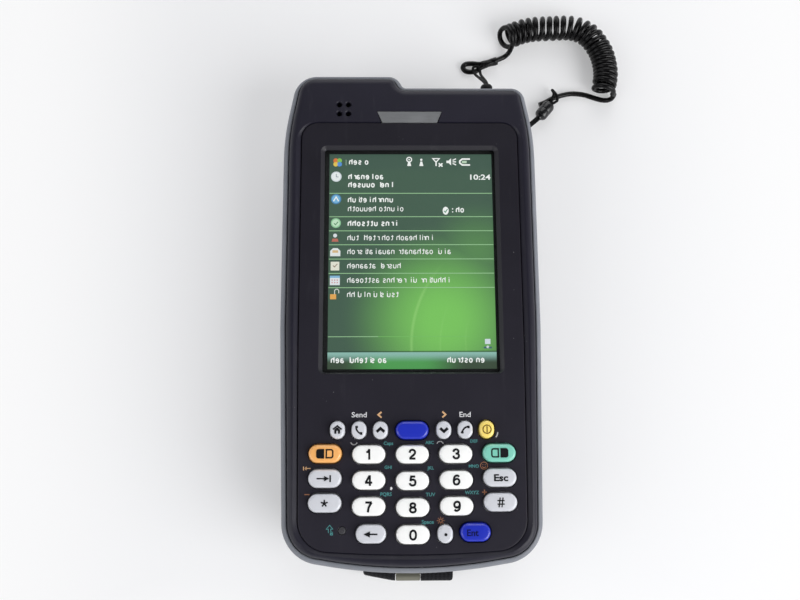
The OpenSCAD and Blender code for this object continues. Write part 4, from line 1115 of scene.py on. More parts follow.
class TERMINAL_OT_front_housing(Maker, bpy.types.Operator):
    """Mould the front housing with its openings"""
    bl_idname = "terminal.front_housing"
    bl_label = "Front housing"

    def build(self):
        split_z = ends("front_housing")[0][2]
        rise = [(2.3, split_z), (2.3, RIM_Z - 2.3)]
        rise += [(4.6 - 2.3 * cos(a), RIM_Z - 2.2 + 2.2 * sin(a)) for a in np.linspace(0.12, pi / 2, 9)]
        rise += [(4.9, RIM_Z), (5.3, RIM_Z)]
        shell = Shape().layers(case_outline, rise).make("front_housing_shell", ["frame"])
        cavity = Shape().layers(case_outline, [(3.8, split_z - 1), (3.8, RIM_Z - 2.2)])
        flare = [(0.32, RIM_Z - 4), (0.32, RIM_Z - 0.82), (0.42, RIM_Z - 0.76), (1.45, RIM_Z - 0.17),
            (1.7, RIM_Z - 0.05), (1.95, RIM_Z + 0.004), (1.95, RIM_Z + 1)]
        opening = Shape().layers(self.rim, flare)
        slope = self.slope()
        window = ends("status_window")
        w0, w1, y0, y1 = 8.9, 10.55, PANEL_TOP_Y - 0.5, window[1][1] + 0.3
        trapezoid = [(-w0, y0), (w0, y0), (w1, y1), (-w1, y1)]
        window = Shape().prism(trapezoid, RIM_Z - 4, RIM_Z + 1)
        ear = middle("earpiece")
        holes = Shape()
        for sx in (-1, 1):
            for sy in (-1, 1):
                holes.turned([(0.85, RIM_Z - 4), (0.85, RIM_Z - 0.35), (1.15, RIM_Z + 0.01),
                    (1.15, RIM_Z + 1)], (ear[0] + sx * 1.45, ear[1] + 0.27 + sy * 1.55, 0))
        carve(shell, cavity, opening, slope, window, holes, side_cuts(4.6), end_cuts())
        wear(shell, CASE, "housing_black", "front_housing", angle=28)

    @staticmethod
    def rim(grow):
        """The panel's opening, whose flare is narrower at the top end."""
        ring = panel_outline(grow)
        ring[:, 1] -= 0.8 * (grow - 0.32) * np.clip((ring[:, 1] - PANEL_TOP_Y + 12) / 12, 0, 1)
        return ring

    def slope(self):
        """The cutter above the scanner hump: a rounded fold and a plane that falls away."""
        fold_y, a = TOP_Y - 6.2, radians(30.5)
        r = 5.0
        bend = [(fold_y - r * tan(a / 2) + r * sin(b), RIM_Z + 0.004 - r * (1 - cos(b)))
            for b in np.linspace(0, a, 7)]
        y1, z1 = bend[-1]
        line = [(fold_y - 8, RIM_Z + 0.004)] + bend + [(y1 + 14, z1 - 14 * tan(a)),
            (y1 + 14, RIM_Z + 6), (fold_y - 8, RIM_Z + 6)]
        ring = np.array(line)
        rings = [np.column_stack([np.full(len(ring), x), ring]) for x in (HUMP_EDGE_X, -50)]
        return Shape().loft(rings)


def stadium(l, h, grow=0.0, n=14):
    """A stadium with its length along the first axis."""
    r = h / 2 + grow
    d = max(l / 2 - h / 2, 0.01)
    return np.vstack([arc(d, 0, r, -90, 90, n), arc(-d, 0, r, 90, 270, n)])


def side_plate(outline, x0, x1, at, bevel=0.0):
    """A plate that stands on the side of the case, its outline in Y and Z."""
    turn = ((0, 0, 1), (1, 0, 0), (0, 1, 0))
    return Shape().prism(outline, x0, x1, bevel, turn=turn, at=at)


def side_cuts(depth):
    """Cutters for the side buttons, the rocker and the headset jack."""
    cuts = Shape()
    for node, sign in (("left_scan_button", -1), ("right_scan_button", 1), ("volume_rocker", -1)):
        c, (low, high) = middle(node), ends(node)
        l = high[1] - low[1] - (2 if "scan" in node else 0)
        cut = side_plate(stadium(l, 5, 0.4), -depth, depth, (sign * HALF_W, c[1], SIDE_Z))
        cuts.add(cut.points, cut.faces)
    jack = middle("headset_jack")
    cuts.turned([(2.9, -8), (2.9, 4)], (HALF_W, jack[1], jack[2]), (1, 0, 0))
    return cuts


def end_cuts():
    """Cutter for the anchor lug in the top end."""
    x, _, z = middle("tether_anchor")
    return Shape().turned([(2.1, -8), (2.1, 4)], (x, TOP_Y - HUMP_H, z), (0, 1, 0))


class TERMINAL_OT_bumper(Maker, bpy.types.Operator):
    """Mould the rubber bumper round the case"""
    bl_idname = "terminal.bumper"
    bl_label = "Bumper"

    def build(self):
        z0, z1 = ends("bumper")[0][2], ends("bumper")[1][2]
        low = [(2.25 - 2.25 * sin(a), z0 + 3.4 - 3.4 * cos(a)) for a in np.linspace(0.15, pi / 2, 9)]
        top = [(1.8 - 1.8 * cos(a), z1 - 4.2 + 4.2 * sin(a)) for a in np.linspace(0, pi / 2 - 0.08, 11)]
        groove = [(1.9, z1 - 0.08), (1.96, z1 - 0.3), (1.96, z1 - 0.9), (2.2, z1 - 0.95)]
        profile = [(2.2, z0)] + low + top + groove
        band = Shape().layers(case_outline, profile, looped=True)
        band = band.make("bumper_band", ["bumper"])
        dock = Shape().box((-14, BOTTOM_Y - 3, z0 - 2), (14, BOTTOM_Y + 5, 17.2))
        carve(band, side_cuts(4), end_cuts(), dock)
        wear(band, CASE, "bumper_grey", "bumper", angle=34)


class TERMINAL_OT_rear_housing(Maker, bpy.types.Operator):
    """Mould the rear housing with its bay, pockets and rails"""
    bl_idname = "terminal.rear_housing"
    bl_label = "Rear housing"

    def build(self):
        split_z, back_z = ends("rear_housing")[1][2], 3.0
        rise = [(5.9, back_z), (5.3, back_z + 0.02)]
        rise += [(2.9 + 2.4 * cos(a) ** 1.2, back_z + 3.2 - 3.2 * cos(a) ** 0.9)
            for a in np.linspace(0.1, 1.45, 9)]
        rise += [(2.75, 8.5), (2.35, 13.2), (2.3, split_z)]
        rise = sorted(rise, key=lambda p: p[1])
        shell = Shape().layers(case_outline, rise).make("rear_housing_shell", ["frame"])
        battery, latch = ends("battery_pack"), ends("battery_latch")
        bay = Shape().prism(rounded(battery[1][0] * 2 + 0.6, battery[1][1] - battery[0][1] + 0.6, 1.5, 0,
            middle("battery_pack")[1]), -1, battery[1][2] + 0.3)
        pin = middle("strap_pin")
        pin_half = ends("strap_pin")[1][0]
        pocket = Shape().prism(rounded(2 * pin_half, 15, 2, 0, pin[1] + 0.5), -1, 9.4)
        catch = Shape().box((-7.3, latch[0][1] - 2.3, -1), (7.3, latch[1][1] + 0.3, 6.3))
        hook = middle("strap_hook")
        slot = Shape().box((hook[0] - 4.6, BOTTOM_Y - 1, 8.6), (hook[0] + 4.6, BOTTOM_Y + 6.4, 10.6))
        dock = Shape().box((-13.1, BOTTOM_Y - 1, 12.1), (13.1, BOTTOM_Y + 8.4, 16.7))
        scan = ends("scan_window")
        scanner = Shape().box((scan[0][0] - 0.1, TOP_Y - 22, 5.5), (scan[1][0] + 0.1, TOP_Y + 1, 12.6))
        silo = Shape().turned([(2.45, -110), (2.45, 0.01)], (STYLUS_X, TOP_Y - 16.8, STYLUS_Z), (0, 1, 0))
        scoop = Shape().box((STYLUS_X - 4.1, TOP_Y - 16.8, -1), (HALF_W + 5, TOP_Y + 5, 13.2))
        heads = Shape()
        for x, y in screw_places():
            heads.turned([(2.4, -1), (2.4, 5.4), (1.05, 5.41), (1.05, split_z + 1)], (x, y, 0))
        lid = Shape().layers(case_outline, [(3.8, split_z - 2), (3.8, split_z + 1)])
        carve(shell, lid, bay, pocket, catch, slot, dock, scanner, scoop, silo, heads, self.grille(),
            side_cuts(4.4))
        wear(shell, CASE, "housing_black", "rear_housing", angle=30)
        self.feet()

    def grille(self):
        """Slots of the loudspeaker, between the strap and the scanner."""
        slots = Shape()
        for k in range(5):
            slots.prism(rounded(11 - abs(k - 2) * 1.6, 0.9, 0.44, 2.5, TOP_Y - 17.4 + k * 1.9), 1, 4.2)
        return slots

    def feet(self):
        for side in (-1, 1):
            x = side * (HALF_W - 9.6)
            y0, y1 = BOTTOM_Y + 23.6, TOP_Y - 27.8 - (2 if side > 0 else 0)
            ring = stadium(y1 - y0, 3.6)[:, ::-1][::-1] + (x, (y0 + y1) / 2)
            foot = Shape().prism(ring, 0.0, 3.2, 0.5)
            foot.piece("foot_left" if side < 0 else "foot_right", ["foot"], CASE, "housing_black",
                angle=40)


def screw_places():
    return [(-HALF_W + 9.35, TOP_Y - 23.8), (HALF_W - 22.85, TOP_Y - 16.8),
        (-HALF_W + 9.35, BOTTOM_Y + 19.8), (HALF_W - 9.35, BOTTOM_Y + 19.8)]


class TERMINAL_OT_screws(Maker, bpy.types.Operator):
    """Drive the housing screws"""
    bl_idname = "terminal.screws"
    bl_label = "Screws"

    def build(self):
        unit = Shape().turned([(0.5, 0.9), (0.95, 0.55), (1.2, 0.1), (1.85, 0.0), (2.15, 0.2), (2.2, 0.5),
            (2.2, 1.5), (1.0, 1.51), (1.0, 18.5)], sides=24)
        for k in range(4):
            a = k * pi / 2
            turn = Matrix.Rotation(a, 3, "Z")
            unit.add(*wedge(), turn=np.array(turn))
        places = [(x, y, 3.9) for x, y in screw_places()]
        turns = [(0, 0, 0.4), (0, 0, 1.1), (0, 0, 0.1), (0, 0, 0.8)]
        screws = copies("case_screws", unit, places, turns, "dark_steel")
        wear(screws, CASE, "steel", "housing_screws")


def wedge():
    """A small raised blade of a screw's cross."""
    form = Shape().box((0.25, -0.14, 0.12), (1.15, 0.14, 0.9))
    return form.points, form.faces


class TERMINAL_OT_face_panel(Maker, bpy.types.Operator):
    """Mould the face panel with its recess and key holes"""
    bl_idname = "terminal.face_panel"
    bl_label = "Face panel"

    def build(self):
        z0 = PANEL_Z - 1.4
        edge = [(0.08, z0)] + [(-0.22 + 0.3 * cos(a), PANEL_Z - 0.3 + 0.3 * sin(a))
            for a in np.linspace(0, pi / 2, 6)]
        edge += [(-0.8, PANEL_Z)]
        plate = Shape().layers(self.outline, edge).make("face_plate", ["panel", "recess"])
        recess = Shape().layers(lambda g: rounded(PICTURE_W + 2.2 + 2 * g, PICTURE_L + 2.0 + 1.5 * g,
            0.8 + g, 0, PICTURE_Y + 0.25 * g), [(0, z0 - 1), (0, z0 + 0.45), (0.1, z0 + 0.6),
            (1.1, PANEL_Z - 0.08), (1.2, PANEL_Z + 0.004), (1.2, PANEL_Z + 1)], slot=1)
        holes = Shape()
        for name in KEYS:
            c, (low, high) = middle("key_" + name), ends("key_" + name)
            w, h = high[0] - low[0] - 1.4, high[1] - low[1] - 1.4
            holes.layers(lambda g: pill(w, h, g) + (c[0], c[1]),
                [(0.25, z0 - 1), (0.25, PANEL_Z - 0.2), (0.31, PANEL_Z - 0.06), (0.45, PANEL_Z + 0.004),
                (0.45, PANEL_Z + 1)])
        led = middle("shift_led")
        holes.turned([(1.25, z0 - 1), (1.25, PANEL_Z - 0.1), (1.4, PANEL_Z + 0.01), (1.4, PANEL_Z + 1)],
            (led[0], led[1], 0))
        carve(plate, recess, holes)
        wear(plate, CASE, "panel_black", "face_panel", angle=30)
        skirt = Shape().layers(panel_outline, [(0.8, 28.0), (0.8, 28.8), (0, 28.81), (0, z0), (-1.2, z0),
            (-1.2, 28.0)], looped=True)
        skirt.piece("panel_skirt", ["inside"], CASE, "panel_black")

    @staticmethod
    def outline(grow):
        """The plate fills its opening's length a little tighter than its width."""
        ring, middle_y = panel_outline(grow), (PANEL_TOP_Y + PANEL_BOTTOM_Y) / 2
        ring[:, 1] += 0.19 * (ring[:, 1] - middle_y) / (PANEL_TOP_Y - middle_y)
        return ring


def pill(w, h, grow=0.0):
    """The outline of a key: a pill, upright when it is narrower than it is high."""
    return rounded(w + 2 * grow, h + 2 * grow, min(w, h) / 2 + grow, n=12)


KEY_FINISH = {"scan": "blue", "enter": "blue", "power": "yellow", "shift_orange": "orange",
    "shift_green": "green"}
KEY_SLOT = {part["node"]: part["material_slot"] for part in frame["record"]["subparts"]}


class TERMINAL_OT_keys(Maker, bpy.types.Operator):
    """Make the keys with their printed legends"""
    bl_idname = "terminal.keys"
    bl_label = "Keys"

    def build(self):
        for name in KEYS:
            self.key(name)

    def key(self, name):
        node = "key_" + name
        c, (low, high) = middle(node), ends(node)
        w, h = high[0] - low[0] - 1.4, high[1] - low[1] - 1.4
        r = min(w, h) / 2
        edge = settings("keypad").edge_radius / MM
        top = high[2]
        crown = 26.0

        def height(x, y):
            return top - (x * x * 0.5 + y * y * 1.6) / (2 * crown)

        rings = [np.column_stack([pill(w, h, 0.7), np.full(52, low[2])]),
            np.column_stack([pill(w, h, 0.7), np.full(52, low[2] + 0.7)]),
            np.column_stack([pill(w, h, 0.0), np.full(52, low[2] + 0.7)])]
        for a in np.linspace(0, pi / 2, 8):
            ring = pill(w, h, -0.12 - edge * (1 - cos(a)))
            z = height(ring[:, 0], ring[:, 1]) - edge * (1 - sin(a))
            rings.append(np.column_stack([ring, z]))
        for grow in np.linspace(-edge - 0.12, -r + 0.02, 6)[1:]:
            ring = pill(w, h, grow)
            rings.append(np.column_stack([ring, height(ring[:, 0], ring[:, 1])]))
        shape = Shape()
        shape.loft(rings)
        tone = "key_" + KEY_FINISH.get(name, "white" if name.isdigit() else "grey")
        inks = self.legend(shape, name)
        key = shape.make("cap_" + name, [tone, inks], bend=lambda p: self.drape(p, height)
            + (c[0], c[1], 0))
        wear(key, node, KEY_SLOT[node], node, angle=40)

    @staticmethod
    def drape(points, height):
        """Lays the marks, whose heights are near 100, on the key's crown."""
        mark = points[:, 2] > 90
        points = points.copy()
        points[mark, 2] += height(points[mark, 0], points[mark, 1]) - 100
        return points

    @staticmethod
    def legend(shape, name):
        """Adds a key's mark, with heights near 100, and gives its ink."""
        z = dict(z0=99.9, z1=100.03, slot=1)
        for way, width, points in KEY_MARKS.get(name, ()):
            if way == "patch":
                shape.prism(points, 99.9, 100.1, slot=1)
            elif way == "ring":
                shape.stroke(smooth([*points, points[0]], 4)[:-1], width, closed=True, **z)
            else:
                shape.stroke(smooth(points, 4) if way == "curve" else points, width, closed=way == "loop",
                    **z)
        for text, height, at, bold, wide in KEY_WORDS.get(name, ()):
            shape.letters(text, height, at, bold=bold, wide=wide, **z)
        return KEY_INK.get(name, "ink_black")


DIGIT_W, DIGIT_H, DIGIT_LINE = 1.68, 2.5, 0.6
SIX = [(0.93, 0.86), (0.75, 0.99), (0.45, 1.0), (0.14, 0.84), (0.02, 0.52), (0.02, 0.25), (0.14, 0.05),
    (0.45, -0.02), (0.8, 0.06), (0.98, 0.3), (0.86, 0.54), (0.55, 0.63), (0.22, 0.55), (0.04, 0.38)]
DIGITS = {
    "0": [("ring", [(0.5, 1.01), (0.88, 0.86), (1.0, 0.5), (0.88, 0.14), (0.5, -0.01),
                    (0.12, 0.14), (0.0, 0.5), (0.12, 0.86)][::-1])],
    "1": [("line", [(0.6, -0.12), (0.6, 1.12)]),
          ("curve", [(0.1, 0.74), (0.34, 0.78), (0.48, 0.9), (0.54, 1.0)])],
    "2": [("curve", [(0.02, 0.68), (0.1, 0.9), (0.34, 1.01), (0.66, 1.01), (0.92, 0.87),
                     (0.95, 0.65), (0.72, 0.44), (0.35, 0.24), (0.1, 0.04)]),
          ("line", [(-0.04, 0.0), (1.02, 0.0)])],
    "3": [("curve", [(0.04, 0.72), (0.12, 0.9), (0.36, 1.01), (0.66, 1.0), (0.9, 0.86),
                     (0.86, 0.64), (0.62, 0.54), (0.4, 0.53)]),
          ("curve", [(0.4, 0.53), (0.7, 0.52), (0.96, 0.38), (0.94, 0.12), (0.66, -0.02),
                     (0.34, -0.02), (0.1, 0.09), (0.02, 0.3)])],
    "4": [("line", [(0.72, -0.12), (0.72, 1.1)]), ("line", [(0.66, 1.04), (0.02, 0.3)]),
          ("line", [(-0.12, 0.25), (1.12, 0.25)])],
    "5": [("line", [(0.95, 1.0), (0.22, 1.0), (0.1, 0.48)]),
          ("curve", [(0.1, 0.5), (0.3, 0.62), (0.6, 0.65), (0.9, 0.54), (0.98, 0.3),
                     (0.86, 0.06), (0.55, -0.02), (0.28, -0.01), (0.08, 0.1), (0.02, 0.26)])],
    "6": [("curve", SIX)],
    "7": [("line", [(-0.06, 1.0), (1.06, 1.0)]),
          ("curve", [(1.0, 0.98), (0.7, 0.66), (0.5, 0.35), (0.38, -0.12)])],
    "8": [("ring", [(0.5, 1.01), (0.84, 0.93), (0.9, 0.76), (0.72, 0.58), (0.5, 0.54),
                    (0.28, 0.58), (0.1, 0.76), (0.16, 0.93)][::-1]),
          ("ring", [(0.5, 0.54), (0.84, 0.47), (1.0, 0.26), (0.84, 0.05), (0.5, -0.02),
                    (0.16, 0.05), (0.0, 0.26), (0.16, 0.47)][::-1])],
    "9": [("curve", [(1 - x, 1 - y) for x, y in SIX])],
}


def half_block(side, inset):
    """One half of the split block on the shift keys, counter-clockwise."""
    x0, x1, y, r = 0.22 + inset, 2.55 - inset, 1.38 - inset, 0.75 - inset
    ring = np.array([(x0, -y), *arc(x1 - r, -y + r, r, -90, 0, 4), *arc(x1 - r, y - r, r, 0, 90, 4),
        (x0, y)])
    return ring if side > 0 else (ring * (-1, 1))[::-1]


KEY_INK = {"enter": "ink_navy", "power": "ink_brown"}
KEY_WORDS = {"esc": [("Esc", 2.0, (0.2, 0.05), 0.03, 1.2)], "enter": [("Ent", 1.9, (-0.9, 0), 0.02, 1.0)]}
KEY_MARKS = {
    "hash": [*(("line", 0.36, [(x - 0.2, -1.4), (x + 0.2, 1.4)]) for x in (-0.42, 0.42)),
             *(("line", 0.36, [(-1.05, y), (1.05, y)]) for y in (-0.5, 0.5))],
    "star": [("line", 0.42, [(0, 0), (1.05 * cos(a), 1.05 * sin(a))])
             for a in np.radians(90 + 72 * np.arange(5))],
    "up": [("line", 0.82, [(-1.15, -0.5), (0, 0.5), (1.15, -0.5)])],
    "down": [("line", 0.82, [(-1.15, 0.5), (0, -0.5), (1.15, 0.5)])],
    "send": [("curve", 0.5, [(-0.8, 1.15), (-0.75, 0.3), (-0.25, -0.5), (0.35, -0.95), (1.0, -1.1)]),
             ("curve", 0.78, [(-0.72, 1.25), (-0.68, 0.9), (-0.65, 0.6)]),
             ("curve", 0.78, [(0.35, -0.9), (0.65, -1.0), (1.05, -1.02)])],
    "end": [("curve", 0.5, [(-1.05, -1.1), (-0.85, -0.35), (-0.25, 0.45), (0.5, 0.8), (1.2, 0.85)]),
            ("curve", 0.78, [(-1.05, -1.15), (-0.98, -0.8), (-0.85, -0.5)]),
            ("curve", 0.78, [(0.55, 0.74), (0.85, 0.78), (1.25, 0.76)])],
    "menu": [("line", 0.46, [(-1.3, 0.15), (0, 1.2), (1.3, 0.15)]),
             ("patch", 0, [(-0.85, -1.1), (-0.25, -1.1), (-0.25, 0.62), (-0.85, 0.12)]),
             ("patch", 0, [(0.25, -1.1), (0.85, -1.1), (0.85, 0.12), (0.25, 0.62)]),
             ("patch", 0, [(-0.3, -0.25), (0.3, -0.25), (0.3, 0.7), (-0.3, 0.7)])],
    "power": [("loop", 0.3, arc(0, 0, 1.22, 0, 345, 23)), ("line", 0.34, [(0, -0.95), (0, 0.95)])],
    "tab": [("line", 0.4, [(-2.35, 0), (0.1, 0)]),
            ("patch", 0, [(1.35, 0), (-0.1, 0.76), (-0.1, -0.76)]),
            ("line", 0.45, [(1.65, -1.0), (1.65, 1.0)])],
    "backspace": [("line", 0.42, [(-0.3, 0), (1.95, 0)]),
                  ("patch", 0, [(-2.1, 0), (-0.25, -0.85), (-0.25, 0.85)])],
    "dot": [("patch", 0, arc(0.1, -0.1, 0.44, 0, 337.5, 15))],
    **{"shift_" + tone: [("patch", 0, half_block(side, 0.0)), ("loop", 0.42, half_block(-side, 0.21))]
       for tone, side in (("orange", -1), ("green", 1))},
    **{digit: [(way, DIGIT_LINE, (np.array(points) - 0.5) * (DIGIT_W, DIGIT_H)) for way, points in marks]
       for digit, marks in DIGITS.items()}}


class TERMINAL_OT_legends(Maker, bpy.types.Operator):
    """Print the marks between the keys"""
    bl_idname = "terminal.legends"
    bl_label = "Panel legends"

    def build(self):
        z = dict(z0=PANEL_Z - 0.03, z1=PANEL_Z + 0.025)
        marks = Shape()
        mark = partial(marks.stroke, **z)
        marks.letters("Send", 1.6, (-15.85, -30.25), bold=0.01, wide=1.1, slot=0, **z)
        marks.letters("End", 1.6, (16.0, -30.3), bold=0.01, wide=1.1, slot=0, **z)
        for x, s in ((-9.65, 1), (9.65, -1)):
            mark([(x + 0.5 * s, -29.5), (x - 0.5 * s, -30.35), (x + 0.5 * s, -31.2)], 0.5, slot=4)
        for text, x, y, h in (("Caps", -7.1, -38.75, 1.05), ("ABC", 5.2, -38.6, 0.95),
                ("DEF", 18.5, -38.25, 0.95), ("GHI", -7.2, -45.8, 0.95), ("JKL", 5.4, -46.05, 0.95),
                ("MNO", 18.3, -45.6, 0.95), ("PQRS", -7.85, -53.6, 1.05), ("TUV", 5.3, -53.75, 1.05),
                ("WXYZ", 17.6, -53.25, 1.0), ("Space", 4.4, -61.6, 1.15)):
            marks.letters(text, h, (x, y), bold=0.02, slot=1, **z)
        a = np.radians(np.linspace(195, 345, 11))
        for x, y, s in ((-17.4, -38.25, 1), (8.35, -39.25, -1)):
            mark([(x + 0.95 * cos(b), y + s * 0.95 * sin(b)) for b in a], 0.27, slot=3)
        mark([(-6.45, -51.6), (-6.2, -51.95), (-6.5, -52.35)], 0.5, slot=0)
        mark([(25.7, -35.7), (25.55, -36.5), (25.1, -37.2)], 0.36, slot=3)
        self.orange(mark)
        self.padlock(mark)
        obj = marks.make("panel_legends", ["ink_white", "ink_teal", "ink_orange", "ink_grey", "ink_sand"])
        wear(obj, CASE, "panel_black")

    def orange(self, mark):
        mark([(-32.0, -46.05), (-30.2, -46.05)], 0.26, slot=4)
        mark([(-31.4, -45.6), (-31.9, -46.05), (-31.4, -46.5)], 0.24, slot=4)
        mark([(-32.3, -45.5), (-32.3, -46.6)], 0.26, slot=4)
        mark([(-31.9, -53.6), (-30.4, -53.6)], 0.26, slot=2)
        for d in ((0.7, 0), (0, 0.7)):
            mark([(21.3 - d[0], -53.2 - d[1]), (21.3 + d[0], -53.2 + d[1])], 0.28, slot=2)
        ring = arc(21.35, -45.5, 1.05, 0, 345, 23)
        mark(ring, 0.18, closed=True, slot=2)
        mark(arc(21.35, -45.55, 0.55, 200, 340, 8), 0.2, slot=2)
        for x in (-0.35, 0.35):
            mark([(21.35 + x, -45.1), (21.35 + x, -45.35)], 0.2, slot=2)
        mark(arc(8.2, -61.3, 0.5, 0, 330, 11), 0.2, closed=True, slot=2)
        for k in range(8):
            d = np.array([cos(k * pi / 4), sin(k * pi / 4)])
            mark([np.array([8.2, -61.3]) + d * 0.78, np.array([8.2, -61.3]) + d * 1.1], 0.2, slot=2)

    def padlock(self, mark):
        arrow = np.array([(-24.75, -64.6), (-24.75, -63.5), (-25.35, -63.5), (-24.4, -62.4),
            (-23.45, -63.5), (-24.05, -63.5), (-24.05, -64.2)])
        mark(arrow, 0.2, slot=1)
        mark([(-24.15, -64.7), (-24.15, -65.15), (-23.5, -65.15), (-23.5, -64.7)], 0.22, closed=True,
            slot=1)
        mark(arc(-23.8, -64.55, 0.28, 0, 180, 6), 0.16, slot=1)


class TERMINAL_OT_display(Maker, bpy.types.Operator):
    """Fit the display: its module, lit picture and touch glass"""
    bl_idname = "terminal.display"
    bl_label = "Display"

    def build(self):
        low, high = ends("lcd_module")
        module = Shape().prism(rounded(high[0] - low[0], high[1] - low[1], 1, 0, PICTURE_Y), low[2],
            high[2] - 0.06, 0.3)
        module.piece("display_module", ["inside"], CASE, "display", "lcd_module")
        z = high[2] - 0.02
        picture = Shape().prism(rounded(PICTURE_W, PICTURE_L, 0.05, PICTURE_RIGHT, PICTURE_Y + PICTURE_UP,
            1), z - 0.02, z)
        picture.piece("display_picture", ["picture"], CASE, "display")
        low, high = ends("touch_glass")
        glass = Shape().prism(rounded(high[0] - low[0], high[1] - low[1], 1, 0, PICTURE_Y), low[2] + 0.12,
            high[2] - 0.02, 0.08)
        glass.piece("touch_screen", ["glass"], CASE, "touch_glass", "touch_glass")


WHITE, PALE, LIME = (1, 1, 1), (0.55, 0.72, 0.55), (0.35, 0.62, 0.33)
GLYPH_STROKES = {
    "n": [[(0, 0), (0, 1)], [(0, 0.55), (0.12, 0.9), (0.4, 1.02), (0.66, 0.85), (0.7, 0.5),
                             (0.7, 0)]],
    "o": [[(0.35, 1.02), (0.07, 0.84), (0, 0.5), (0.07, 0.16), (0.35, -0.02), (0.63, 0.16),
           (0.7, 0.5), (0.63, 0.84), (0.35, 1.02)]],
    "l": [[(0.1, 0), (0.1, 1.4)]],
    "e": [[(0.02, 0.52), (0.66, 0.52), (0.62, 0.82), (0.36, 1.02), (0.08, 0.82), (0, 0.45),
           (0.12, 0.1), (0.4, -0.02), (0.66, 0.12)]],
    "u": [[(0, 1), (0, 0.5), (0.04, 0.15), (0.3, -0.02), (0.58, 0.1), (0.7, 0.4)],
          [(0.7, 0), (0.7, 1)]],
    "i": [[(0.1, 0), (0.1, 1)], [(0.1, 1.25), (0.1, 1.42)]],
    "t": [[(0.25, 1.35), (0.25, 0.5), (0.3, 0.1), (0.6, 0.0)], [(0, 1), (0.6, 1)]],
    "h": [[(0, 0), (0, 1.4)], [(0, 0.55), (0.12, 0.9), (0.4, 1.02), (0.66, 0.85), (0.7, 0.5),
                               (0.7, 0)]],
    "a": [[(0.08, 0.85), (0.35, 1.02), (0.62, 0.85), (0.66, 0.5), (0.66, 0)],
          [(0.66, 0.55), (0.3, 0.5), (0.02, 0.3), (0.1, 0.03), (0.35, -0.02), (0.66, 0.2)]],
    "r": [[(0, 0), (0, 1)], [(0, 0.6), (0.15, 0.92), (0.45, 1.0)]],
    "s": [[(0.6, 0.85), (0.35, 1.02), (0.06, 0.85), (0.1, 0.6), (0.5, 0.45), (0.6, 0.2),
           (0.35, -0.02), (0.02, 0.12)]],
}


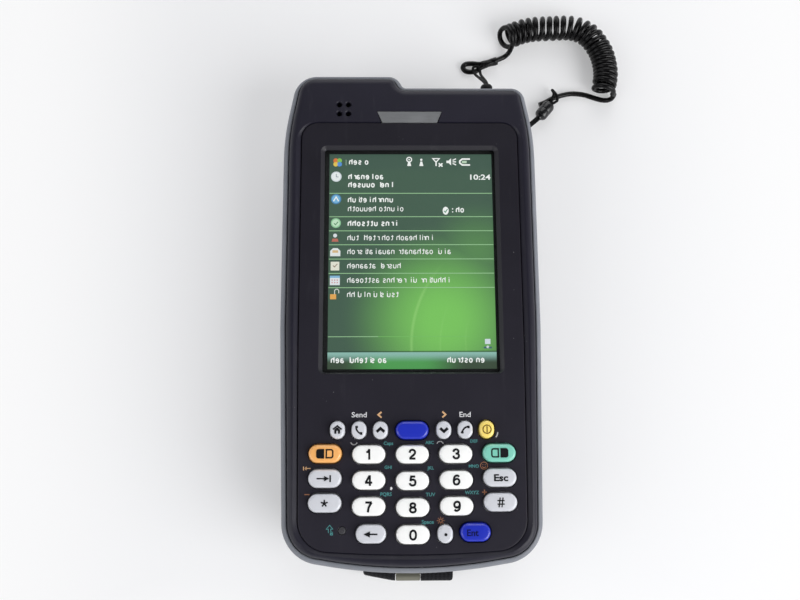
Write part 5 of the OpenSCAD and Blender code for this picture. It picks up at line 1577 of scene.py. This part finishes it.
class TERMINAL_OT_screen(Maker, bpy.types.Operator):
    """Draw the rows, icons and small marks of the picture"""
    bl_idname = "terminal.screen"
    bl_label = "Screen marks"

    def build(self):
        self.z = dict(z0=ends("lcd_module")[1][2] - 0.015, z1=ends("lcd_module")[1][2] + 0.03)
        self.marks = Shape()
        self.rng = np.random.default_rng(11)
        for v in (12.97, 20.73, 25.36, 29.9, 34.54, 39.15, 43.72):
            self.line([(0.1, v), (PICTURE_W - 0.1, v)], 0.22, LIME)
        self.line([(0.1, 59.19), (15.5, 59.19)], 0.2, LIME)
        self.line([(15.5, 59.19), (44, 59.19)], 0.16, (0.2, 0.55, 0.14))
        for v, u, wide, weight in ((2.55, 6.4, 6.6, 0.34), (7.5, 6.2, 11.5, 0.36),
                (10.2, 6.2, 14.6, 0.36), (15.2, 6.1, 14.8, 0.32), (18.2, 6.1, 18.3, 0.24),
                (23.0, 6.1, 16.7, 0.36), (27.7, 6.0, 27.2, 0.24), (32.2, 6.0, 32.8, 0.24),
                (36.8, 6.0, 16.7, 0.24), (41.4, 6.0, 32.7, 0.24), (46.0, 6.0, 16.4, 0.24),
                (66.55, 1.2, 17.2, 0.34), (66.55, 37.0, 11.3, 0.34), (18.55, 40.5, 2.9, 0.34)):
            self.words(u, v, wide, weight)
        self.marks.letters("10:24", 1.75, self.at(48.4, 7.5), bold=0.02, wide=1.34, tint=WHITE, **self.z)
        self.icons()
        self.status()
        obj = self.marks.make("screen_marks", ["marks"])
        wear(obj, CASE, "display")

    def at(self, u, v):
        return (u - PICTURE_W / 2 + PICTURE_RIGHT, PICTURE_Y + PICTURE_L / 2 - v + 0.05)

    def line(self, points, width, tint=WHITE, closed=False, lift=0.0):
        self.marks.stroke([self.at(u, v) for u, v in points], width, closed=closed, tint=tint,
            z0=self.z["z0"], z1=self.z["z1"] + lift)

    def patch(self, ring, tint=WHITE, lift=0.0):
        """A filled patch of the picture, with v downwards."""
        ring = np.array([self.at(u, v) for u, v in ring])
        (x, y), (x1, y1) = ring.T, np.roll(ring, -1, 0).T
        self.marks.prism(ring if (x * y1 - y * x1).sum() > 0 else ring[::-1], self.z["z0"],
            self.z["z1"] + lift, tint=tint)

    def slab(self, u0, v0, u1, v1, tint=WHITE, lift=0.0):
        self.patch([(u0, v1), (u0, v0), (u1, v0), (u1, v1)], tint, lift)

    def disc(self, u, v, r, tint=WHITE, lift=0.0):
        self.patch(arc(u, v, r, 0, 345, 23), tint, lift)

    def words(self, u, v, wide, weight):
        """Small unreadable writing: mirrored strokes, like words seen from afar."""
        names, size, x, count = sorted(GLYPH_STROKES), 1.17, 0.0, 0
        left = 3 + int(self.rng.integers(6))
        while x < wide - 0.9:
            if left == 0:
                x += 0.75
                left = 3 + int(self.rng.integers(8))
                continue
            glyph = "h" if count == 0 else names[int(self.rng.integers(len(names)))]
            for stroke in GLYPH_STROKES[glyph]:
                points = [(u + x + (0.7 - px) * size, v + 0.66 - py * size) for px, py in stroke]
                self.line(smooth(points, 2) if len(points) > 3 else points, weight, WHITE)
            x += {"i": 0.5, "l": 0.5, "t": 0.9, "r": 0.8}.get(glyph, 1.1) + weight
            left, count = left - 1, count + 1

    def icons(self):
        """The column of small round and square icons at the left."""
        for k, tint in enumerate(((0.75, 0.2, 0.05), (0.25, 0.55, 0.1), (0.1, 0.3, 0.75),
                (0.85, 0.6, 0.1))):
            a = pi * (0.75 - k * 0.5)
            self.disc(2.6 + 0.85 * cos(a), 2.6 - 0.85 * sin(a), 0.78, tint)
        self.line([(5.3, 1.7), (5.3, 3.6)], 0.12, PALE)
        self.disc(2.2, 7.4, 1.7, (0.75, 0.8, 0.85))
        self.disc(2.2, 7.4, 1.35, (0.9, 0.93, 0.95), 0.01)
        self.line([(2.2, 6.5), (2.2, 7.5), (2.9, 7.5)], 0.24, (0.25, 0.3, 0.35), lift=0.02)
        self.disc(2.2, 14.9, 1.65, (0.08, 0.25, 0.5))
        self.disc(2.2, 14.9, 1.3, (0.2, 0.5, 0.8), 0.01)
        self.line([(1.4, 15.6), (2.2, 14.2), (3.0, 15.6)], 0.36, WHITE, lift=0.02)
        self.disc(2.2, 22.8, 1.6, (0.3, 0.62, 0.35))
        self.disc(2.2, 22.8, 1.2, (0.6, 0.85, 0.62), 0.01)
        self.line([(1.6, 22.9), (2.1, 23.4), (2.9, 22.4)], 0.3, (0.12, 0.3, 0.15), lift=0.02)
        self.disc(2.0, 26.9, 0.62, (0.8, 0.82, 0.88))
        self.patch([(0.9, 28.9), (1.2, 27.9), (2.8, 27.9), (3.1, 28.9)], (0.55, 0.16, 0.12))
        self.patch([(0.5, 33.6), (0.5, 31.9), (1.4, 31.0), (2.8, 31.0), (3.7, 31.9), (3.7, 33.6)],
            (0.85, 0.87, 0.88))
        self.slab(1.2, 31.7, 3.0, 32.5, (0.75, 0.5, 0.25), 0.01)
        self.slab(0.7, 35.4, 3.4, 38.2, (0.85, 0.83, 0.72))
        self.line([(1.4, 36.6), (1.9, 37.1), (2.8, 36.1)], 0.26, (0.3, 0.2, 0.15), lift=0.02)
        self.slab(0.5, 39.9, 3.6, 42.9, (0.82, 0.85, 0.9))
        self.slab(0.5, 39.9, 3.6, 40.6, (0.25, 0.5, 0.75), 0.01)
        for i in range(3):
            for j in range(2):
                self.disc(1.2 + i * 0.8, 41.3 + j * 0.8, 0.22, (0.7, 0.3, 0.3), 0.01)
        self.slab(0.6, 45.8, 2.5, 47.4, (0.85, 0.42, 0.1))
        self.line([(2.0, 45.8), (2.0, 44.6), (2.4, 44.2), (2.9, 44.2), (3.3, 44.6), (3.3, 45.5)], 0.26,
            (0.75, 0.76, 0.72))

    def status(self):
        """The small signs at the right of the top bar and above the foot bar."""
        y = 2.4
        self.line(arc(25.6, y - 0.75, 0.78, 0, 337.5, 15), 0.34, closed=True)
        self.disc(25.6, y - 0.75, 0.25, WHITE)
        self.disc(29.5, y - 0.7, 0.36, WHITE)
        for x in (25.6, 29.5):
            self.patch([(x - 0.65, y + 1.4), (x - 0.28, y - 0.1), (x + 0.28, y - 0.1),
                (x + 0.65, y + 1.4)], WHITE)
        x = 34.3
        self.line([(x - 1.1, y - 1.1), (x + 1.0, y - 1.1), (x - 0.05, y + 0.1)], 0.38, closed=True)
        self.line([(x - 0.05, y), (x - 0.05, y + 1.4)], 0.42)
        self.line([(x + 0.8, y + 0.5), (x + 2.0, y + 1.6)], 0.44)
        self.line([(x + 2.0, y + 0.5), (x + 0.8, y + 1.6)], 0.44)
        x = 38.6
        self.patch([(x - 1.0, y + 0.4), (x - 1.0, y - 0.4), (x - 0.3, y - 0.4), (x + 0.5, y - 1.2),
            (x + 0.5, y + 1.2), (x - 0.3, y + 0.4)], WHITE)
        for d in (-1, 0, 1):
            self.line([(x + 1.0, y + d * 0.5), (x + 2.1, y + d * 1.05)], 0.36)
        x = 43.6
        self.line([(x + 1.6, y - 0.95), (x - 0.9, y - 0.95), (x - 1.7, y - 0.3), (x - 1.7, y + 0.4),
            (x - 0.9, y + 1.05), (x + 1.6, y + 1.05)], 0.5)
        self.patch([(x - 1.0, y + 0.45), (x - 1.0, y - 0.35), (x + 0.5, y - 0.35), (x + 0.5, y + 0.45)],
            PALE)
        self.patch(arc(0, 0, 1.0, 0, 345, 23) * (0.95, 1.3) + (37.1, 18.75), WHITE)
        self.line([(36.6, 18.8), (37.0, 19.3), (37.7, 18.2)], 0.3, (0.1, 0.3, 0.18), lift=0.02)
        for v in (18.15, 19.15):
            self.disc(39.3, v, 0.2)
        self.slab(48.6, 60.0, 50.3, 61.6, (0.7, 0.78, 0.85))
        self.line([(48.2, 62.7), (50.7, 62.7)], 0.5, (0.05, 0.12, 0.2))
        self.disc(49.45, 62.5, 0.42, (0.75, 0.8, 0.85))


class TERMINAL_OT_windows(Maker, bpy.types.Operator):
    """Fit the status window, the shift lamp, the earpiece and the scanner's window"""
    bl_idname = "terminal.windows"
    bl_label = "Windows"

    def build(self):
        low, high = ends("status_window")
        y0, y1, w0, w1 = low[1], high[1] + 0.2, 8.8, high[0] + 0.25
        ring = [(-w0, y0), (w0, y0), (w1, y1), (-w1, y1)]
        pane = Shape().prism(ring, low[2], high[2], 0.16)
        pane.piece("status_pane", ["window"], CASE, "window_grey", "status_window", angle=20)
        c, (low, high) = middle("shift_led"), ends("shift_led")
        lamp = Shape().turned([(0.4, low[2]), (1.15, low[2]), (1.15, high[2] - 0.35),
            (1.0, high[2] - 0.12), (0.6, high[2] - 0.02), (0.1, high[2])], (c[0], c[1], 0), sides=28)
        lamp.piece("shift_lamp", ["lamp"], CASE, "window_grey", "shift_led", angle=50)
        paint("earpiece", "inside")
        pane = from_node("scan_window", "scan_pane", "red_window", 0.12)
        wear(pane, CASE, "window_red", "scan_window")
        paint("scan_engine", "inside")


class TERMINAL_OT_sides(Maker, bpy.types.Operator):
    """Fit the scan buttons, the volume rocker, the jack and the dock connector"""
    bl_idname = "terminal.sides"
    bl_label = "Side parts"

    def build(self):
        for node, sign in (("left_scan_button", -1), ("right_scan_button", 1)):
            c, (low, high) = middle(node), ends(node)
            l = high[1] - low[1] - 2
            button = Shape()
            inner = abs(c[0]) - (high[0] - low[0]) / 2
            for outline, x0, x1, bevel in ((stadium(l, 5), inner + 0.8, HALF_W - 0.15, 0.55),
                    (stadium(l + 2, 7), inner, inner + 0.8, 0.1)):
                form = side_plate(outline, x0, x1, (0, 0, 0), bevel)
                button.add(np.array(form.points), form.faces)
            for k in range(5):
                form = side_plate(stadium(2.6, 0.5, 0, 6)[:, ::-1][::-1] + ((k - 2) * 1.5, 0),
                    HALF_W - 0.3, HALF_W + 0.06, (0, 0, 0), 0.12)
                button.add(np.array(form.points), form.faces)
            points = np.array(button.points) * (sign, 1, 1) + (0, c[1], SIDE_Z)
            faces = button.faces if sign > 0 else [f[::-1] for f in button.faces]
            Shape().add(points, faces).piece(node + "_cap", ["button"], node, "button_black", node, angle=40)
        node = "volume_rocker"
        c, (low, high) = middle(node), ends(node)
        form = side_plate(stadium(high[1] - low[1], 5), 36.3, HALF_W - 0.15, (0, 0, 0), 0.5)
        rocker = Shape().add(np.array(form.points) * (-1, 1, 1) + (0, c[1], SIDE_Z),
            [f[::-1] for f in form.faces])
        for dy, bars in ((3.6, ((1, 0), (0, 1))), (-3.6, ((1, 0),))):
            for a, b in bars:
                rocker.box((-HALF_W + 0.03, c[1] + dy - 0.8 * a - 0.16 * b, SIDE_Z - 0.16 * a - 0.8 * b),
                    (-HALF_W + 0.3, c[1] + dy + 0.8 * a + 0.16 * b, SIDE_Z + 0.16 * a + 0.8 * b))
        rocker.turned([(0.55, -3.1), (0.55, 3.1)], (-(HALF_W - 3.05), c[1], SIDE_Z), sides=20)
        rocker.piece("rocker_cap", ["button"], node, "button_black", node, angle=40)
        low, high = ends("headset_jack")
        c = middle("headset_jack")
        l = high[0] - low[0]
        jack = Shape().turned([(2.8, 0), (2.8, l - 0.3), (2.6, l), (1.75, l), (1.6, l - 0.12),
            (1.27, l - 0.3), (1.27, l - 9.5), (0.05, l - 9.6)], (low[0], c[1], c[2]), (1, 0, 0), 40)
        jack.piece("jack_socket", ["inside"], CASE, "inner_black", "headset_jack", angle=40)
        ring = Shape().turned([(1.28, l - 1.2), (1.6, l - 1.2), (1.75, l + 0.05), (1.28, l)],
            (low[0], c[1], c[2]), (1, 0, 0), 40)
        body = Shape().loft([np.array(ring.points)[k * 40:(k + 1) * 40] for k in range(4)], looped=True)
        body.piece("jack_ring", ["steel"], CASE, "steel", angle=40)
        socket = from_node("dock_connector", "dock_socket", "inside", 0.12)
        wear(socket, CASE, "inner_black", "dock_connector")
        low, high = ends("dock_connector")
        unit = Shape().box((-0.35, 0, 0), (0.35, 3.2, 0.12))
        pins = row("dock_contacts", unit, (-9.35, low[1] + 0.6, low[2] + 2.58), (1.1, 0, 0), 18, "gold")
        wear(pins, CASE, "steel")


class TERMINAL_OT_back(Maker, bpy.types.Operator):
    """Fit the battery pack, its latch and the strap's pin"""
    bl_idname = "terminal.back"
    bl_label = "Battery and latch"

    def build(self):
        low, high = ends("battery_pack")
        w, l = high[0] - low[0], high[1] - low[1]
        cy = (high[1] + low[1]) / 2
        pack = Shape().prism(rounded(w, l, 1.3, 0, cy), low[2], high[2], 0.35)
        pack = pack.make("battery_shell", ["frame", "panel"])
        field = Shape().prism(rounded(w - 12, 48, 1.2, 0, cy), low[2] - 1, low[2] + 0.3, slot=1)
        notch = Shape().prism(rounded(18, 6.4, 1.0, 0, low[1] + 0.1), low[2] - 1, low[2] + 1.8)
        carve(pack, field, notch)
        wear(pack, "battery", "battery_black", "battery_pack", angle=30)
        unit = Shape().prism(rounded(15, 0.7, 0.34), -0.12, 0.3, 0.1)
        grip = row("battery_grip", unit, (0, high[1] - 11, low[2] + 0.02), (0, 1.6, 0), 6, "latch")
        wear(grip, "battery", "battery_black")
        latch = from_node("battery_latch", "latch_slide", "latch", 0.2)
        wear(latch, "battery_latch", "latch_grey", "battery_latch")
        c = middle("strap_pin")
        half = ends("strap_pin")[1][0]
        pin = Shape().turned([(0.2, -half), (1.2, -half), (1.5, -half + 0.3), (1.5, half - 0.3),
            (1.2, half), (0.2, half)], c, (1, 0, 0), 32)
        pin.piece("pin_rod", ["steel"], CASE, "steel", "strap_pin")


STRAP_SPLIT_Y, HOOK_OUT = -4.0, 0.95


class TERMINAL_OT_strap(Maker, bpy.types.Operator):
    """Sew the hand strap round its pin and hook"""
    bl_idname = "terminal.strap"
    bl_label = "Hand strap"

    def build(self):
        low, high = ends("hand_strap")
        pin = middle("strap_pin")
        self.x, self.w = (low[0] + high[0]) / 2, high[0] - low[0]
        self.t, z0 = 1.5, low[2]
        top, bottom = high[1] - 3.3, low[1] + 3.3
        pack = ends("battery_pack")
        self.bend = {1: (top - 2.0, pack[1][1] + 1.0), -1: (bottom + 3.5, pack[0][1] - 1.0)}
        for name, end_y, way in (("strap_top", top, 1), ("strap_bottom", bottom, -1)):
            self.half(name, end_y, pin[2], way, z0)
        self.stitches(top, bottom, z0)

    def section(self, end_y, end_z, way, z0):
        """The strap's line in Y and Z: along the back, round the bar and doubled back."""
        r = 1.7 + self.t / 2
        z = z0 + 0.2 + self.t / 2
        flat = [(STRAP_SPLIT_Y + way * k, z) for k in np.arange(0, abs(end_y - STRAP_SPLIT_Y), 3.0)]
        a = np.linspace(-90, 150, 20)
        wrap = [(end_y + way * r * cos(radians(b)), end_z + r * sin(radians(b))) for b in a]
        return [(0, *p) for p in (*flat, *wrap, (end_y - way * 3.4, end_z + 0.4))]

    def follow(self, obj, way):
        """Bends a piece of the strap where it leaves the battery pack for its bar."""
        start, end = self.bend[way]
        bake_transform(obj)

    def half(self, name, end_y, end_z, way, z0):
        line = self.section(end_y, end_z, way, z0)
        line = evenly(smooth(line, 2), 110)
        run = travelled(line)
        shape, across = Shape(), self.profile()
        rings = swept(line, self.x, across)
        if way < 0:
            rings, run = rings[::-1], run[::-1]
        shape.loft(rings)
        for k in range(len(rings)):
            for i, (u, _) in enumerate(across):
                shape.maps[k * len(across) + i] = (u, run[k])
        obj = shape.make(name, ["webbing"])
        face_out(obj)
        if way < 0:
            self.pull(obj, end_y)
            carve(obj, Shape().box((self.x - 4.1, end_y - 9, -2), (self.x + 4.1, end_y + 7, 9)))
        shade(obj, 50)
        self.follow(obj, way)
        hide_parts("hand_strap")

    def pull(self, obj, end_y):
        """Draws the strap's end out to its hook, further at the middle than at the left."""
        for vertex in obj.data.vertices:
            x, y, _ = vertex.co / MM
            share = min(max((end_y + 2.5 - y) / 2.5, 0), 1)
            left = min(max((self.x - 4.1 - x) / (self.w / 2 - 4.1), 0), 1)
            vertex.co.y -= share * (HOOK_OUT + 0.1 - 1.9 * left) * MM

    def profile(self):
        """The webbing's cross-section: flat with soft edges, in X and thickness."""
        w, t = self.w / 2, self.t / 2
        xs = np.linspace(-w + 0.8, w - 0.8, 14)
        ring = [(x, -t) for x in xs] + [(w - 0.2, -t * 0.7), (w, 0), (w - 0.2, t * 0.7)]
        ring += [(x, t) for x in xs[::-1]] + [(-w + 0.2, t * 0.7), (-w, 0), (-w + 0.2, -t * 0.7)]
        return np.array(ring)

    def stitches(self, top, bottom, z0):
        """Box seams near both ends of the strap."""
        unit = Shape().tube(smooth([(-0.55, 0, 0.04), (-0.3, 0, -0.06), (0.3, 0, -0.06), (0.55, 0, 0.04)],
            3), 0.12, 6)
        for name, way, y0, y1 in (("seam_top", 1, top - 9, top - 4.4),
                ("seam_bottom", -1, bottom + 4.4, bottom + 9)):
            points, turns = [], []
            for y in (y0, y1):
                for x in np.arange(-self.w / 2 + 2.4, self.w / 2 - 2.2, 1.5):
                    if way < 0 and abs(x) < 5 and y == y0:
                        continue
                    points.append((self.x + x, y, z0 + 0.19))
                    turns.append((0, 0, 0))
            for x in (-self.w / 2 + 1.9, self.w / 2 - 1.9):
                for y in np.arange(y0 + 0.8, y1 - 0.4, 1.5):
                    points.append((self.x + x, y, z0 + 0.19))
                    turns.append((0, 0, pi / 2))
            seam = copies(name, unit, points, turns, "thread")
            shade(seam, 60)
            self.follow(seam, way)


class TERMINAL_OT_hook(Maker, bpy.types.Operator):
    """Bend the metal hook that holds the strap's end"""
    bl_idname = "terminal.hook"
    bl_label = "Strap hook"

    def build(self):
        x, y, z, w, t, b = -0.9, ends("strap_hook")[0][1] + 3.3, 4.0, 7.7, 1.15, 0.22
        line = [(0, y - HOOK_OUT - 2.68 * sin(a), z - 2.68 * cos(a))
            for a in np.radians(np.linspace(-60, 190, 22))]
        line += [(0, y + 1.6, z + 4.2), (0, y + 2.1, z + 5.5), (0, y + 3.2, z + 5.85),
            (0, y + 6.2, z + 5.85)]
        section = np.array([(-w / 2 + b, -t / 2), (w / 2 - b, -t / 2), (w / 2, -t / 2 + b),
            (w / 2, t / 2 - b), (w / 2 - b, t / 2), (-w / 2 + b, t / 2), (-w / 2, t / 2 - b),
            (-w / 2, -t / 2 + b)])
        hook = Shape().loft(swept(evenly(smooth(line, 3), 70), x, section))
        hook.turned([(0.3, -13.7), (1.2, -13.7), (1.5, -13.4), (1.5, 13.4), (1.2, 13.7), (0.3, 13.7)],
            (x, y - HOOK_OUT - 0.35, z), (1, 0, 0), 28, slot=1)
        obj = hook.make("hook_plate", ["hook_metal", "bright_steel"])
        face_out(obj)
        wear(obj, CASE, "hook_metal", "strap_hook", angle=35)


class TERMINAL_OT_stylus(Maker, bpy.types.Operator):
    """Turn the stylus that sits in its silo"""
    bl_idname = "terminal.stylus"
    bl_label = "Stylus"

    def build(self):
        low, high = ends("stylus")
        l = high[1] - low[1]
        profile = [(0.15, 0), (0.45, 0.05), (0.62, 0.4), (0.8, 1.2), (1.35, 3.4), (1.9, 5.2), (2.3, 6.4),
            (2.38, 7.2), (2.38, 16), (2.2, 16.2), (2.2, 16.8), (2.38, 17)]
        for k in range(7):
            s = 19 + k * 1.5
            profile += [(2.38, s), (2.24, s + 0.15), (2.24, s + 0.55), (2.38, s + 0.7)]
        profile += [(2.38, l - 14), (2.1, l - 13.8), (2.1, l - 13.2), (2.38, l - 13), (2.38, l - 3.2),
            (2.25, l - 2), (1.95, l - 0.7), (1.6, l - 0.15), (1.2, l), (0.2, l)]
        pen = Shape().turned(profile, (STYLUS_X, low[1], STYLUS_Z), (0, 1, 0), 36)
        pen = pen.make("stylus_pen", ["stylus"])
        hole = Shape().turned([(0.7, -5), (0.7, 5)], (STYLUS_X, high[1] - 1.4, STYLUS_Z), (1, 0, 0), 20)
        carve(pen, hole)
        wear(pen, "stylus", "stylus_black", "stylus", angle=30)


class TERMINAL_OT_inside(Maker, bpy.types.Operator):
    """Finish the parts inside the case"""
    bl_idname = "terminal.inside"
    bl_label = "Inner parts"

    def build(self):
        for node, name in (("main_board", "board"), ("keypad_board", "board"), ("mid_frame", "aluminium"),
                ("keypad_membrane", "membrane")):
            paint(node, name)


STEPS = (TERMINAL_OT_camera, TERMINAL_OT_tether, TERMINAL_OT_strings, TERMINAL_OT_barrel,
    TERMINAL_OT_front_housing, TERMINAL_OT_bumper, TERMINAL_OT_rear_housing, TERMINAL_OT_screws,
    TERMINAL_OT_face_panel, TERMINAL_OT_keys, TERMINAL_OT_legends, TERMINAL_OT_display,
    TERMINAL_OT_screen, TERMINAL_OT_windows, TERMINAL_OT_sides, TERMINAL_OT_back, TERMINAL_OT_strap,
    TERMINAL_OT_hook, TERMINAL_OT_stylus, TERMINAL_OT_inside, TERMINAL_OT_stage)
GROUPS = {"case": CaseSettings, "display": DisplaySettings, "keypad": KeypadSettings,
    "tether": TetherSettings, "stage": StageSettings}


class TERMINAL_PT_panel(bpy.types.Panel):
    """Lists the settings and the pieces"""
    bl_label = "Data terminal"
    bl_idname = "TERMINAL_PT_panel"
    bl_space_type = "VIEW_3D"
    bl_region_type = "UI"
    bl_category = "Terminal"

    def draw(self, context):
        for name in GROUPS:
            box = self.layout.box()
            box.label(text=name.capitalize())
            group = settings(name)
            for prop in group.bl_rna.properties:
                if prop.identifier not in ("rna_type", "name"):
                    box.prop(group, prop.identifier)
        for step in STEPS:
            self.layout.operator(step.bl_idname)


def register():
    for cls in (*GROUPS.values(), *STEPS, TERMINAL_PT_panel):
        bpy.utils.register_class(cls)
    for name, cls in GROUPS.items():
        setattr(bpy.types.Scene, "terminal_" + name, PointerProperty(type=cls))


def unregister():
    for name in GROUPS:
        delattr(bpy.types.Scene, "terminal_" + name)
    for cls in reversed((*GROUPS.values(), *STEPS, TERMINAL_PT_panel)):
        bpy.utils.unregister_class(cls)


def main():
    register()
    for step in STEPS:
        group, name = step.bl_idname.split(".")
        getattr(getattr(bpy.ops, group), name)()


if __name__ == "__main__":
    main()
